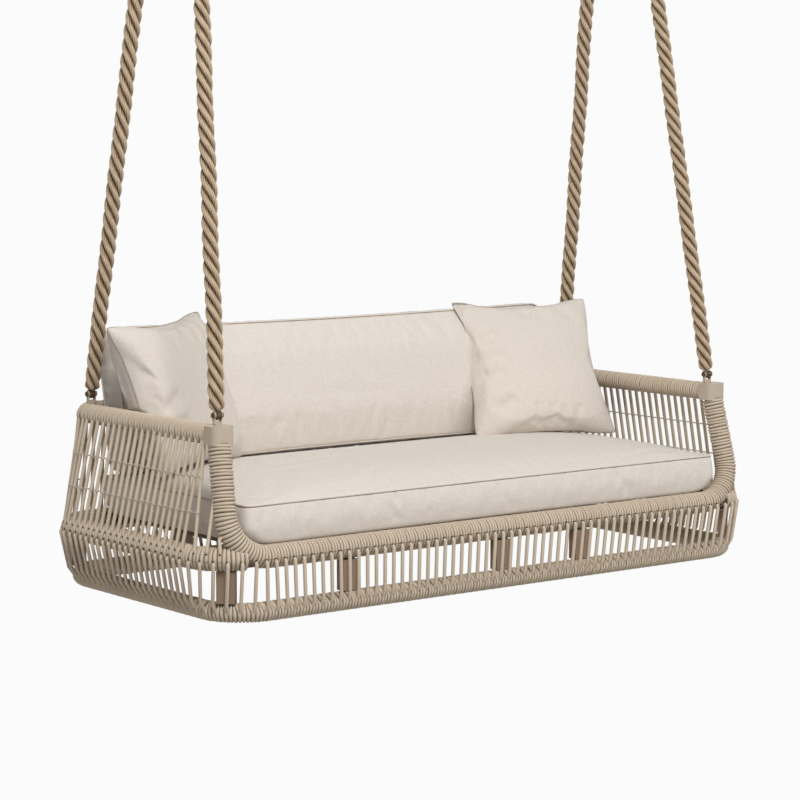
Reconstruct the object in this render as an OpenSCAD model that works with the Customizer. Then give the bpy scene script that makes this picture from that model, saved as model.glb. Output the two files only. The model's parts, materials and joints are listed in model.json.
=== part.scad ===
// Hanging swing seat: a wrapped tube frame with loose cushions, hung from the ceiling on four ropes.
// X runs along the seat, -Y is the open front, Z is up. The origin is on the ceiling, at the middle
// of the four hanger studs, so the seat hangs below it.

/* [Seat ring] */
// Width of the seat ring between tube centres
ring_w = 1920; // [1600:20:2100]
// Depth of the seat ring between tube centres
ring_d = 814; // [740:2:900]
// Bend radius of the ring's corners
ring_corner_r = 118; // [90:2:150]
// Outer radius of the frame tube
tube_r = 24; // [18:0.5:26]
// Wall of the frame tube
tube_wall = 3; // [2:0.5:4]
// Thickness of the cord wound on the frame
wrap_t = 8; // [5:0.5:10]

/* [Base ring] */
// Drop of the base ring below the seat ring
base_drop = 144; // [120:2:180]
// How far the base ring stands in from the seat ring at each end
base_inset = 34; // [20:1:50]
// How far the base ring stands out past the seat ring at front and back
base_outset = 12; // [0:1:20]
// Outer radius of the base tube
base_tube_r = 19; // [15:0.5:24]
// Width of a base upright
upright_w = 50; // [30:1:60]
// Thickness of a base upright
upright_t = 30; // [20:1:36]
// Places of the uprights along the front and the back
upright_x = [-538, 0, 295];

/* [Arms and back] */
// Height of the arm rail above the seat ring
arm_h = 322; // [260:2:380]
// How far each arm leans in over the seat ring
arm_inset = 62; // [40:1:80]
// Outer radius of the arm tube
arm_tube_r = 19; // [15:0.5:24]
// Bend radius of the arm rail's rear corners
arm_corner_r = 61; // [50:1:90]
// How far the front post leans back at the arm
post_back = 76; // [50:1:100]
// How far the back rail leans in over the seat ring
back_inset = 23; // [10:1:40]
// Bend radius where a front post turns into the front rail
post_bend_r = 118; // [90:2:140]
// How far a front post's foot stands in from the end of the seat ring
post_inset = 39; // [30:1:60]
// Length, depth and height of the block on a front corner
block_size = [68, 58, 50];
// Radius of the block's upright edges
block_edge_r = 16; // [8:1:22]
// Radius of a rear post
rear_post_r = 10; // [8:0.5:12]
// Number of rear posts
rear_posts_n = 4; // [2:2:6]

/* [Cords] */
// Diameter of a panel cord
cord_d = 9; // [6:0.5:10]
// Distance from one panel cord to the next, before it is fitted to the ring's length
cord_pitch = 32; // [26:1:40]
// Distance from one arm cord to the next along the arm rail
arm_cord_pitch = 29.5; // [26:0.5:34]
// How far along the base ring a skirt cord lands from the place under its top
skirt_lean = 16; // [0:1:20]
// Clearance between a cord and the windings that it lies on
cord_clear = 0.3; // [0.2:0.1:0.8]

/* [Deck] */
// Width and height of a deck rail
deck_rail = [30, 30];
// Width of a deck slat
slat_w = 80; // [50:2:100]
// Thickness of a deck slat
slat_t = 12; // [8:1:14]
// Number of deck slats
slats_n = 12; // [8:1:14]

/* [Cushions] */
// Gap between each end of the seat cushion and the centre of the seat ring
seat_cushion_gap = 102; // [90:1:130]
// How far the seat cushion's front edge stands back from the seat ring's centre
seat_cushion_front = 8; // [0:1:20]
// How far the seat cushion's back edge stands in front of the seat ring's centre
seat_cushion_back = 64; // [58:1:90]
// Height of the seat cushion at its edge
seat_cushion_t = 104; // [80:2:120]
// How far the seat cushion swells above its edge
seat_crown = 44; // [20:1:50]
// Gap between each arm and the end of the back cushion when it sits in the middle
back_cushion_gap = 71; // [60:1:100]
// How far the back cushion sits to the left of the middle
back_shift = 46; // [0:1:50]
// Height of the back cushion along its own slope
back_cushion_h = 398; // [360:2:420]
// Thickness of the back cushion at its edge
back_cushion_t = 96; // [80:2:120]
// How far the back cushion's faces swell
back_crown = 34; // [20:1:40]
// Lean of the back cushion
back_lean = 11; // [8:1:16]
// Side of a square pillow
pillow_side = 452; // [400:2:460]
// How far the middle of the left pillow stands in from the left arm
left_pillow_in = 193; // [180:1:260]
// How far the middle of the right pillow stands in from the right arm
right_pillow_in = 290; // [240:1:400]
// How far the middle of each pillow stands in front of the back rail
pillow_out = 210; // [190:1:260]
// Degrees that the left pillow is turned towards the middle
left_pillow_turn = 23; // [15:1:30]
// Degrees that the left pillow leans back
left_pillow_lean = 18; // [14:1:24]
// Degrees that the left pillow is tipped in its own plane
left_pillow_tip = 1.7; // [0:0.1:4]
// Degrees that the right pillow is turned towards the middle
right_pillow_turn = -16.8; // [-24:0.2:-10]
// Degrees that the right pillow leans back
right_pillow_lean = 28.6; // [22:0.2:32]
// Degrees that the right pillow is tipped in its own plane
right_pillow_tip = 0.4; // [0:0.1:4]
// Half of a pillow's thickness at its middle
pillow_half_t = 72; // [50:1:80]
// Clearance between soft pieces that lie on each other
soft_clear = 0.6; // [0.4:0.1:1]
// Gap between the pillows and the back cushion
pillow_clear = 2.4; // [1.6:0.2:4]

/* [Ropes and ceiling hangers] */
// Diameter of a rope
rope_d = 45; // [36:1:48]
// Height of the ceiling above the seat ring
hang_h = 1650; // [1600:10:2400]
// Distance between the hangers along the seat
hanger_x = 1640; // [1500:10:1700]
// Distance between the front and back hangers
hanger_y = 294; // [240:2:360]
// Distance from the hangers' middle to the seat ring's middle, front to back
hang_offset = 8; // [0:1:12]
// Drop of a hanger's pin below the ceiling
hanger_drop = 50; // [44:1:70]
// Radius of a hanger stud
stud_r = 6; // [4:0.5:8]
// Length of a hanger stud above the ceiling face
stud_l = 60; // [40:5:90]
// Radius of a pin
pin_r = 5; // [4:0.5:5.5]
// Height of a clevis pin above the face that carries it
pin_h = 26; // [24:0.5:32]
// Outer radius of a rope eye
eye_r = 12.5; // [12:0.5:14]
// Thickness of a rope eye
eye_t = 16; // [12:0.5:18]
// Running clearance of a pin in its bore
pin_clear = 0.3; // [0.2:0.1:0.6]
// Play of the back rope eyes on their pins
back_play = 4.2; // [3.8:0.1:4.6]
// Thickness of a clevis ear
ear_t = 4.5; // [3:0.5:6]

/* [Hidden] */
$fn = 48;

// Rounds a worked-out size to a hundredth, so that lengths that meet end to end meet exactly
function tidy(x) = round(x * 100) / 100;

// Frame sizes
ring_a = ring_w / 2;
ring_b = ring_d / 2;
wrap_r = tube_r + wrap_t;
base_a = ring_a - base_inset;
base_b = ring_b + base_outset;
base_wrap_r = base_tube_r + wrap_t;
arm_a = ring_a - arm_inset;
arm_front = -(ring_b - post_back);
arm_back = ring_b - back_inset;
arm_wrap_r = arm_tube_r + wrap_t;
straight_a = ring_a - ring_corner_r;
straight_b = ring_b - ring_corner_r;

// The front frame lies in one plane that leans back, with posts that lean in as they rise
frame_tilt = tidy(atan(post_back / arm_h));
post_l = arm_h / cos(frame_tilt);
post_foot = ring_a - post_inset;
post_lean = tidy(atan((post_foot - arm_a) / post_l));
bend_angle = 90 + post_lean;
bend_x = tidy(post_foot - post_bend_r * tan(bend_angle / 2));
post_straight = tidy(post_l / cos(post_lean) - post_bend_r * tan(bend_angle / 2));
block_top = arm_h + arm_wrap_r;
block_foot = block_top - block_size[2];
seam = 0.2;
lap = 0.1;
arm_rail_end = arm_front + block_size[1] / 2 + seam;

// Rope ends, measured from the seat ring's centre
front_pin = [arm_a - 5, arm_front + 13, block_top + pin_h];
back_pin = [arm_a - 13, arm_back - 44, block_top + pin_h];
hanger_z = hang_h - hanger_drop;
front_hook = [hanger_x / 2, hang_offset - hanger_y / 2, hanger_z];
back_hook = [hanger_x / 2, hang_offset + hanger_y / 2, hanger_z];
ear_r = 8.5;
bow_r = 3;
bow_w = 2 * bow_r + 3;
clevis_seat = 3;
bolt_head_r = 11;
saddle_r = 13;
saddle_drop = 12;
pin_head = 3;
pin_head_r = pin_r + 2.5;
shank_r = 7;
rope_tip = 10;
rope_taper = 36;
rope_neck = 6;
plate_r = 38;
plate_t = 6;

// Cushion places, measured from the seat ring's centre
cushion_z = wrap_r + 0.3;
seat_cushion_w = ring_w - 2 * seat_cushion_gap;
seat_cushion_d = ring_d - seat_cushion_front - seat_cushion_back;
back_cushion_w = 2 * (arm_a - arm_wrap_r - back_cushion_gap);
cushion_mid_y = -ring_b + seat_cushion_front + seat_cushion_d / 2;
cushion_top = cushion_z + seat_cushion_t;
back_swell = 8;
back_foot_y = arm_back - arm_wrap_r - 0.5 - (arm_h - cushion_top) * tan(back_lean)
    - (back_cushion_t / 2 + back_swell) / cos(back_lean);

// Puts children drawn about the seat ring's centre where the seat hangs
module seat_frame() {
    translate([0, -hang_offset, -hang_h]) children();
}

module pair() {
    children();
    mirror([1, 0, 0]) children();
}

// Hollow round section
module hoop(outer, inner) {
    difference() {
        circle(outer);
        circle(inner);
    }
}

// Straight length along X with the child as its section
module run_x(x0, x1, y, z) {
    translate([x0, y, z]) rotate([90, 0, 90]) linear_extrude(x1 - x0) children();
}

// Straight length along Y with the child as its section
module run_y(x, y0, y1, z) {
    translate([x, y1, z]) rotate([90, 0, 0]) linear_extrude(y1 - y0) children();
}

// Quarter bend about a corner's centre with the child as its section
module bend(x, y, start, radius, sweep = 90) {
    translate([x, y, 0]) rotate([0, 0, start])
        rotate_extrude(angle = sweep) translate([radius, 0]) children();
}

// Closed loop of tube with four equal bends
module closed_loop(a, b, r) {
    for (s = [-1, 1]) {
        run_x(-(a - r), a - r, s * b, 0) children();
        run_y(s * a, -(b - r), b - r, 0) children();
    }
    bend(a - r, b - r, 0, r) children();
    bend(-(a - r), b - r, 90, r) children();
    bend(-(a - r), -(b - r), 180, r) children();
    bend(a - r, -(b - r), 270, r) children();
}

// The front frame's own plane, leaning back, with the front rail along its X
module front_plane() {
    translate([0, -ring_b, 0]) rotate([90 - frame_tilt, 0, 0]) children();
}

// Front rail with the bends that turn up into the posts, the section given as its child
module front_bent() {
    front_plane() {
        run_x(-bend_x, bend_x, 0, 0) children();
        pair() bend(bend_x, post_bend_r, 270, post_bend_r, bend_angle) children();
    }
}

// Straight posts from the bends to the corner blocks, cut off level under the blocks
module post_runs() {
    difference() {
        front_plane() pair() translate([bend_x, post_bend_r, 0]) rotate([0, 0, post_lean])
            translate([post_bend_r, 0, 0]) rotate([-90, 0, 0]) linear_extrude(post_straight) children();
        translate([-ring_w, -ring_d, block_foot - seam]) cube([2 * ring_w, 2 * ring_d, 2 * block_size[2]]);
    }
}

// Sides and back of the seat ring, with the front bends that meet the front frame
module ring_bent() {
    run_x(-straight_a, straight_a, ring_b, 0) children();
    pair() {
        run_y(ring_a, -straight_b, straight_b, 0) children();
        bend(straight_a, straight_b, 0, ring_corner_r) children();
        bend(straight_a, -straight_b, 270, ring_corner_r) children();
    }
}

// Arm rail from block to block round the back
module arm_bent() {
    translate([0, 0, arm_h]) {
        run_x(-(arm_a - arm_corner_r), arm_a - arm_corner_r, arm_back, 0) children();
        pair() {
            run_y(arm_a, arm_rail_end, arm_back - arm_corner_r, 0) children();
            bend(arm_a - arm_corner_r, arm_back - arm_corner_r, 0, arm_corner_r) children();
        }
    }
}

module front_frame() {
    color([0.42, 0.34, 0.27]) seat_frame() front_bent() hoop(tube_r, tube_r - tube_wall);
}

module front_frame_wrap() {
    color([0.76, 0.71, 0.62]) seat_frame() front_bent() hoop(wrap_r, tube_r);
}

module front_posts() {
    color([0.42, 0.34, 0.27]) seat_frame() post_runs() hoop(tube_r, tube_r - tube_wall);
}

module front_posts_wrap() {
    color([0.76, 0.71, 0.62]) seat_frame() post_runs() hoop(wrap_r, tube_r);
}

// The ring's front bends are coped round the front frame
module seat_ring() {
    color([0.42, 0.34, 0.27]) seat_frame() difference() {
        ring_bent() hoop(tube_r, tube_r - tube_wall);
        front_bent() circle(wrap_r + seam);
    }
}

module seat_ring_wrap() {
    color([0.76, 0.71, 0.62]) seat_frame() difference() {
        ring_bent() hoop(wrap_r, tube_r);
        front_bent() circle(wrap_r + seam);
    }
}

module base_ring() {
    color([0.42, 0.34, 0.27]) seat_frame() translate([0, 0, -base_drop])
        closed_loop(base_a, base_b, ring_corner_r) hoop(base_tube_r, base_tube_r - tube_wall);
}

module base_ring_wrap() {
    color([0.76, 0.71, 0.62]) seat_frame() translate([0, 0, -base_drop])
        closed_loop(base_a, base_b, ring_corner_r) hoop(base_wrap_r, base_tube_r);
}

module arm_rail() {
    color([0.42, 0.34, 0.27]) seat_frame()
        arm_bent() hoop(arm_tube_r, arm_tube_r - tube_wall);
}

module arm_rail_wrap() {
    color([0.76, 0.71, 0.62]) seat_frame() arm_bent() hoop(arm_wrap_r, arm_tube_r);
}

// Smooth cast block that joins the arm rail to the front post and carries a rope
module corner_block() {
    seat_frame() difference() {
        translate([arm_a, arm_front, block_foot]) linear_extrude(block_size[2]) block_outline();
        translate([front_pin[0], front_pin[1], block_foot - 1])
            cylinder(r = stud_r + pin_clear, h = block_size[2] + 2);
    }
}

module block_outline() {
    x = block_size[0] / 2 - block_edge_r;
    y = block_size[1] / 2 - block_edge_r;
    square([2 * x, block_size[1]], center = true);
    square([block_size[0], 2 * y], center = true);
    for (i = [-1, 1], j = [-1, 1]) translate([i * x, j * y]) circle(block_edge_r);
}

module corner_block_left() {
    color([0.75, 0.70, 0.62]) mirror([1, 0, 0]) corner_block();
}

module corner_block_right() {
    color([0.75, 0.70, 0.62]) corner_block();
}

// Rectangular tubes that carry the base ring under the seat ring
module upright() {
    difference() {
        linear_extrude(base_drop - wrap_r - base_wrap_r - 2 * seam)
            square([upright_w, upright_t], center = true);
        translate([0, 0, -1]) linear_extrude(base_drop)
            square([upright_w - 2 * tube_wall, upright_t - 2 * tube_wall], center = true);
    }
}

module base_uprights() {
    foot = -base_drop + base_wrap_r + seam;
    corner = ring_corner_r / sqrt(2);
    color([0.42, 0.33, 0.26]) seat_frame() for (s = [-1, 1]) {
        for (x = upright_x) translate([x, s * (ring_b + base_outset / 2), foot]) upright();
        for (i = [-1, 1])
            translate([i * (straight_a - base_inset / 2 + corner), s * (straight_b + base_outset / 2 + corner), foot])
                rotate([0, 0, -45 * i * s]) upright();
    }
}

// Round bar between two points
module bar(p, q, r) {
    v = q - p;
    l = norm(v);
    translate(p) rotate([0, acos(v[2] / l), atan2(v[1], v[0])]) cylinder(r = r, h = l);
}

module rear_posts() {
    pitch = 2 * straight_a / rear_posts_n;
    color([0.42, 0.34, 0.27]) seat_frame() for (i = [0:rear_posts_n - 1]) {
        x = cord_step * (round((-straight_a + (i + 0.5) * pitch) / cord_step) + 0.5);
        bar([x, ring_b - 0.1 * back_inset, wrap_r + 0.9], [x, arm_back, arm_h - arm_wrap_r - 2.1], rear_post_r);
    }
}

module deck_rails() {
    color([0.42, 0.34, 0.27]) seat_frame() for (s = [-1, 1])
        translate([0, s * (ring_b - wrap_r - 0.3 - deck_rail[0] / 2), wrap_r - slat_t - deck_rail[1] / 2])
            rotate([90, 0, 90]) linear_extrude(2 * bend_x - 8, center = true) difference() {
                square(deck_rail, center = true);
                square([deck_rail[0] - 2 * tube_wall, deck_rail[1] - 2 * tube_wall], center = true);
            }
}

module deck_slats() {
    pitch = (2 * straight_a - slat_w) / (slats_n - 1);
    color([0.45, 0.34, 0.24]) seat_frame() for (i = [0:slats_n - 1])
        translate([-straight_a + slat_w / 2 + i * pitch, 0, wrap_r - slat_t / 2])
            cube([slat_w - 12, ring_d - 2 * wrap_r - 20, slat_t], center = true);
}

// Where a straight cord leaves one winding and meets the next, as [out, up] pairs: the outer
// tangent of two circles at [0, 0] and [out, -drop]
function skirt_line(out, drop) =
    let (r0 = wrap_r + cord_d / 2 + cord_clear, r1 = base_wrap_r + cord_d / 2 + cord_clear,
         gap = sqrt(out * out + drop * drop),
         a = atan2(-drop, out) + acos((r0 - r1) / gap))
    [[r0 * cos(a), r0 * sin(a)], [out + r1 * cos(a), -drop + r1 * sin(a)]];

// A panel cord from under the arm rail to the outer face of the seat ring, leaning out and along
function panel_line(inset, along = 0) =
    let (r = wrap_r + cord_d / 2 + cord_clear,
         top = arm_h - arm_wrap_r - cord_clear - cord_d / 2 * norm([inset, along]) / arm_h,
         gap = norm([inset, top]),
         a = atan2(top, -inset) - acos(r / gap))
    [[-inset, top], [r * cos(a), r * sin(a)]];

module cord(p, q) {
    bar(p, q, cord_d / 2);
}

// Length of a quarter of a ring's centre line
function quarter_l(a, b, r) = a + b - 2 * r + PI * r / 2;

// Skirt cords are evenly spaced round the whole ring, the same number on each quarter
cords_per_quarter = round(quarter_l(ring_a, ring_b, ring_corner_r) / cord_pitch);
cord_step = quarter_l(ring_a, ring_b, ring_corner_r) / cords_per_quarter;
base_step = quarter_l(base_a, base_b, ring_corner_r) / cords_per_quarter;

// Numbers of cords in half of the front, and on one side, of the seat ring
front_half = floor(straight_a / cord_step);
side_first = cords_per_quarter - floor(straight_b / cord_step);

// Place and outward direction on a ring, at a distance along it from the middle of its front
function on_ring(s, a, b, r) =
    let (q = quarter_l(a, b, r), t = s < -q ? s + 4 * q : s > 3 * q ? s - 4 * q : s)
    t < 0 ? mirrored(on_ring(-t, a, b, r)) :
    t > 2 * q ? mirrored(on_ring(4 * q - t, a, b, r)) :
    t > q ? flipped(on_ring(2 * q - t, a, b, r)) :
    t < a - r ? [t, -b, -90] :
    t < a - r + PI * r / 2 ? let (g = (t - a + r) * 180 / PI / r - 90) [a - r + r * cos(g), r - b + r * sin(g), g] :
    [a, t - q, 0];
function mirrored(p) = [-p[0], p[1], 180 - p[2]];
function flipped(p) = [p[0], -p[1], -p[2]];

function cord_at(i, l) = (i - floor(l / 2 / cord_step)) * cord_step;
function cords_in(l) = 2 * floor(l / 2 / cord_step) + 1;

// A skirt cord, by its number round the ring from the middle of the front
module skirt_cord(i) {
    top = on_ring(i * cord_step, ring_a, ring_b, ring_corner_r);
    foot = on_ring(i * base_step - skirt_lean, base_a, base_b, ring_corner_r);
    out = (foot[0] - top[0]) * cos(top[2]) + (foot[1] - top[1]) * sin(top[2]);
    line = skirt_line(out, base_drop);
    low = line[1][0] - out;
    cord([top[0] + line[0][0] * cos(top[2]), top[1] + line[0][0] * sin(top[2]), line[0][1]],
        [foot[0] + low * cos(foot[2]), foot[1] + low * sin(foot[2]), line[1][1]]);
}

module skirt_cords_front() {
    color([0.78, 0.73, 0.65]) seat_frame()
        for (i = [-front_half:front_half]) skirt_cord(i);
}

module skirt_cords_back() {
    color([0.78, 0.73, 0.65]) seat_frame()
        for (i = [-front_half:front_half]) skirt_cord(2 * cords_per_quarter + i);
}

module skirt_cords_left() {
    color([0.78, 0.73, 0.65]) seat_frame()
        for (i = [side_first:2 * cords_per_quarter - side_first]) skirt_cord(-i);
}

module skirt_cords_right() {
    color([0.78, 0.73, 0.65]) seat_frame()
        for (i = [side_first:2 * cords_per_quarter - side_first]) skirt_cord(i);
}

module skirt_cords_corners() {
    color([0.78, 0.73, 0.65]) seat_frame() for (i = [front_half + 1:side_first - 1]) {
        skirt_cord(i);
        skirt_cord(-i);
        skirt_cord(2 * cords_per_quarter - i);
        skirt_cord(2 * cords_per_quarter + i);
    }
}

// A place on the arm rail, at a distance back along it from the middle of the arm
function on_arm(u) =
    let (past = u - arm_back + arm_corner_r, g = past * 180 / PI / arm_corner_r)
    past < 0 ? [arm_a, u] :
    g < 90 ? [arm_a - arm_corner_r * (1 - cos(g)), arm_back - arm_corner_r * (1 - sin(g))] :
    [arm_a - arm_corner_r - past + PI * arm_corner_r / 2, arm_back];

// Arm cords stand evenly along the arm rail and lean back in line with the front posts. The first
// one stands close to the block, and on the ring's front corner their feet close up.
arm_cord_lean = tan(frame_tilt) * (panel_line(arm_inset)[0][1] - panel_line(arm_inset)[1][1]);
arm_cord_first = arm_rail_end + 24;
arm_cords_n = floor((arm_back - arm_corner_r - arm_cord_first) / arm_cord_pitch);
corner_close = 0.79;
function arm_cord_top(k) = max(arm_rail_end + 5, arm_cord_first + k * arm_cord_pitch);
function arm_cord_foot(u) =
    let (past = u - arm_cord_lean + straight_b) max(0, past) + corner_close * min(0, past) - straight_b;

// The cords round a rear corner share out the rail and the ring between the last arm cord and the
// first back cord
corner_top_from = arm_cord_top(arm_cords_n);
corner_top_to = arm_back + arm_a - (2 - PI / 2) * arm_corner_r - front_half * cord_step;
corner_foot_from = arm_cord_foot(corner_top_from);
corner_foot_to = quarter_l(ring_a, ring_b, ring_corner_r) - front_half * cord_step;
corner_cords_n = round((corner_foot_to - corner_foot_from) / arm_cord_pitch) - 1;

// A cord from a place under the arm rail to the seat ring, its foot measured back from the middle
// of the side
module side_cord(top, run) {
    foot = on_ring(quarter_l(ring_a, ring_b, ring_corner_r) + run, ring_a, ring_b, ring_corner_r);
    out = [cos(foot[2]), sin(foot[2])];
    v = [foot[0], foot[1]] - top;
    line = panel_line(v * out, v * [-out[1], out[0]]);
    cord([top[0], top[1], line[0][1]],
        [foot[0] + line[1][0] * out[0], foot[1] + line[1][0] * out[1], line[1][1]]);
}

module arm_cords() {
    for (k = [-1:arm_cords_n])
        side_cord([arm_a, arm_cord_top(k)], arm_cord_foot(arm_cord_top(k)));
}

module arm_cords_left() {
    color([0.78, 0.73, 0.65]) seat_frame() mirror([1, 0, 0]) arm_cords();
}

module arm_cords_right() {
    color([0.78, 0.73, 0.65]) seat_frame() arm_cords();
}

module back_cords() {
    line = panel_line(back_inset);
    color([0.78, 0.73, 0.65]) seat_frame() for (i = [0:cords_in(2 * straight_a) - 1]) {
        x = cord_at(i, 2 * straight_a);
        cord([x, ring_b + line[0][0], line[0][1]], [x, ring_b + line[1][0], line[1][1]]);
    }
}

module back_cords_corners() {
    color([0.78, 0.73, 0.65]) seat_frame() pair() for (j = [1:corner_cords_n]) {
        f = j / (corner_cords_n + 1);
        side_cord(on_arm(corner_top_from + f * (corner_top_to - corner_top_from)),
            corner_foot_from + f * (corner_foot_to - corner_foot_from));
    }
}

// Bolt whose round head stands on a corner block and carries a clevis
module clevis_bolt(pin, grip) {
    translate([pin[0], pin[1], block_top]) {
        translate([0, 0, lap]) cylinder(r = bolt_head_r, h = clevis_seat - lap);
        translate([0, 0, -grip]) cylinder(r = stud_r, h = grip + 2 * lap);
    }
}

// Bolts in the corner blocks, and saddles on the rear bends of the arm rail
module clevis_mounts() {
    color([0.74, 0.69, 0.61]) seat_frame() pair() {
        clevis_bolt(front_pin, block_size[2] - saddle_drop);
        difference() {
            translate([back_pin[0], back_pin[1], block_top - saddle_drop])
                cylinder(r = saddle_r, h = saddle_drop + clevis_seat);
            arm_bent() circle(arm_wrap_r + seam);
        }
    }
}

// U-shaped fork: a round bow on the bolt and two ears that hold the pin
module clevis(pin) {
    x = eye_t / 2 + pin_clear;
    low = block_top + clevis_seat + lap;
    difference() {
        union() {
            for (s = [-1, 1]) {
                translate([pin[0] + s * (x + ear_t / 2), pin[1], pin[2]]) rotate([0, 90, 0])
                    cylinder(r = ear_r, h = ear_t, center = true);
                translate([pin[0] + s * (x + ear_t / 2), pin[1], (low + pin[2]) / 2])
                    cube([ear_t, bow_w, pin[2] - low], center = true);
            }
            translate([pin[0], pin[1], low + bow_r])
                cube([2 * (x + ear_t), bow_w, 2 * bow_r], center = true);
        }
        translate(pin) rotate([0, 90, 0]) cylinder(r = pin_r + pin_clear, h = 60, center = true);
    }
}

module front_clevises() {
    color([0.74, 0.69, 0.61]) seat_frame() pair() clevis(front_pin);
}

module back_clevises() {
    color([0.74, 0.69, 0.61]) seat_frame() pair() clevis(back_pin);
}

// Pin with a round head outside each ear
module clevis_pin(pin) {
    x = eye_t / 2 + pin_clear + ear_t + 0.2;
    translate(pin) rotate([0, 90, 0]) {
        cylinder(r = pin_r, h = 2 * x, center = true);
        for (s = [-1, 1]) translate([0, 0, s * (x + pin_head / 2)])
            cylinder(r = pin_head_r, h = pin_head, center = true);
    }
}

module front_clevis_pins() {
    color([0.70, 0.65, 0.57]) seat_frame() pair() clevis_pin(front_pin);
}

module back_clevis_pins() {
    color([0.70, 0.65, 0.57]) seat_frame() pair() clevis_pin(back_pin);
}

// Flat eye on a pin, with a short shank that runs up into the rope
module rope_eye(pin, toward, play) {
    lean = atan2(toward[1] - pin[1], toward[2] - pin[2]);
    translate(pin) rotate([-lean, 0, 0]) difference() {
        union() {
            rotate([0, 90, 0]) cylinder(r = eye_r, h = eye_t, center = true);
            cylinder(r = shank_r, h = rope_tip + 0.8);
        }
        rotate([0, 90, 0]) cylinder(r = pin_r + play, h = eye_t + 2, center = true);
        translate([0, 0, rope_tip + 0.8]) cylinder(r = 20, h = 20);
    }
}

module front_lower_eyes() {
    color([0.62, 0.55, 0.45]) seat_frame() pair() rope_eye(front_pin, front_hook, pin_clear);
}

module back_lower_eyes() {
    color([0.62, 0.55, 0.45]) seat_frame() pair() rope_eye(back_pin, back_hook, back_play);
}

module front_upper_eyes() {
    color([0.62, 0.55, 0.45]) seat_frame() pair() rope_eye(front_hook, front_pin, pin_clear);
}

module back_upper_eyes() {
    color([0.62, 0.55, 0.45]) seat_frame() pair() rope_eye(back_hook, back_pin, pin_clear);
}

// A rope between two pins, drawn in at both ends where its strands close on an eye
module rope(pin, hook) {
    v = hook - pin;
    l = norm(v);
    tip = rope_tip + 1.4;
    seat_frame() translate(pin) rotate([0, acos(v[2] / l), atan2(v[1], v[0])]) rotate_extrude()
        polygon([
            [0, tip], [shank_r + 1, tip], [rope_d / 2 - rope_neck, tip + rope_taper / 3],
            [rope_d / 2, tip + rope_taper], [rope_d / 2, l - tip - rope_taper],
            [rope_d / 2 - rope_neck, l - tip - rope_taper / 3], [shank_r + 1, l - tip], [0, l - tip]
        ]);
}

module front_rope_left() {
    color([0.68, 0.56, 0.42]) mirror([1, 0, 0]) rope(front_pin, front_hook);
}

module front_rope_right() {
    color([0.68, 0.56, 0.42]) rope(front_pin, front_hook);
}

module back_rope_left() {
    color([0.68, 0.56, 0.42]) mirror([1, 0, 0]) rope(back_pin, back_hook);
}

module back_rope_right() {
    color([0.68, 0.56, 0.42]) rope(back_pin, back_hook);
}

// Round ceiling plate with a stud above it and a fork below it
module hanger(hook) {
    x = eye_t / 2 + pin_clear;
    translate([hook[0], hook[1], hang_h]) {
        translate([0, 0, -plate_t]) cylinder(r = plate_r, h = plate_t);
        translate([0, 0, -1]) cylinder(r = stud_r, h = stud_l + 1);
    }
    difference() {
        union() for (s = [-1, 1]) {
            translate([hook[0] + s * (x + ear_t / 2), hook[1], hook[2]]) rotate([0, 90, 0])
                cylinder(r = ear_r + 2, h = ear_t, center = true);
            translate([hook[0] + s * (x + ear_t / 2), hook[1], hook[2] + (hanger_drop - plate_t + 1) / 2])
                cube([ear_t, 2 * (ear_r + 2), hanger_drop - plate_t + 1], center = true);
        }
        translate(hook) rotate([0, 90, 0]) cylinder(r = pin_r + pin_clear, h = 60, center = true);
    }
}

module ceiling_hangers() {
    color([0.74, 0.69, 0.61]) seat_frame() pair() {
        hanger(front_hook);
        hanger(back_hook);
    }
}

module hanger_pins() {
    color([0.70, 0.65, 0.57]) seat_frame() pair() {
        clevis_pin(front_hook);
        clevis_pin(back_hook);
    }
}

// Outline of a cushion seen square on: a rounded rectangle whose sides pull in between its corners
side_steps = 6;
corner_steps = 4;
function outline(w, h, r, pull) = [
    for (side = [0:3]) let (
        x = w / 2 - r, y = h / 2 - r,
        c = [[x, y], [-x, y], [-x, -y], [x, -y]][side],
        next = [[-x, y], [-x, -y], [x, -y], [x, y]][side],
        out = [[0, 1], [-1, 0], [0, -1], [1, 0]][side]
    ) each concat(
        [for (i = [0:corner_steps]) let (a = 90 * side + 90 * i / corner_steps)
            c + r * [cos(a), sin(a)]],
        [for (i = [1:side_steps - 1]) let (t = i / side_steps)
            c + (next - c) * t + out * (r - pull * sin(180 * t))]
    )
];

// Closed skin over rings of equal length, fanned to a point at each end
function ring_faces(rings, n) = concat(
    [for (k = [0:rings - 2], i = [0:n - 1]) let (j = (i + 1) % n)
        each [[k * n + i, k * n + j, (k + 1) * n + j], [k * n + i, (k + 1) * n + j, (k + 1) * n + i]]],
    [for (i = [0:n - 1]) [rings * n, (i + 1) % n, i]],
    [for (i = [0:n - 1]) [rings * n + 1, (rings - 1) * n + i, (rings - 1) * n + (i + 1) % n]]
);

// Height of a crowned face over its edge at a share of the half width and half height
function crown(u, v) = max(0, 1 - pow(abs(u), 6)) * max(0, 1 - pow(abs(v), 3));

// Height of the seat cushion's top at a place on the seat
function seat_top(x, y) =
    cushion_top + seat_crown * crown(min(1, abs(2 * x / seat_cushion_w)),
        min(1, abs(2 * (y - cushion_mid_y) / seat_cushion_d)));

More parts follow.
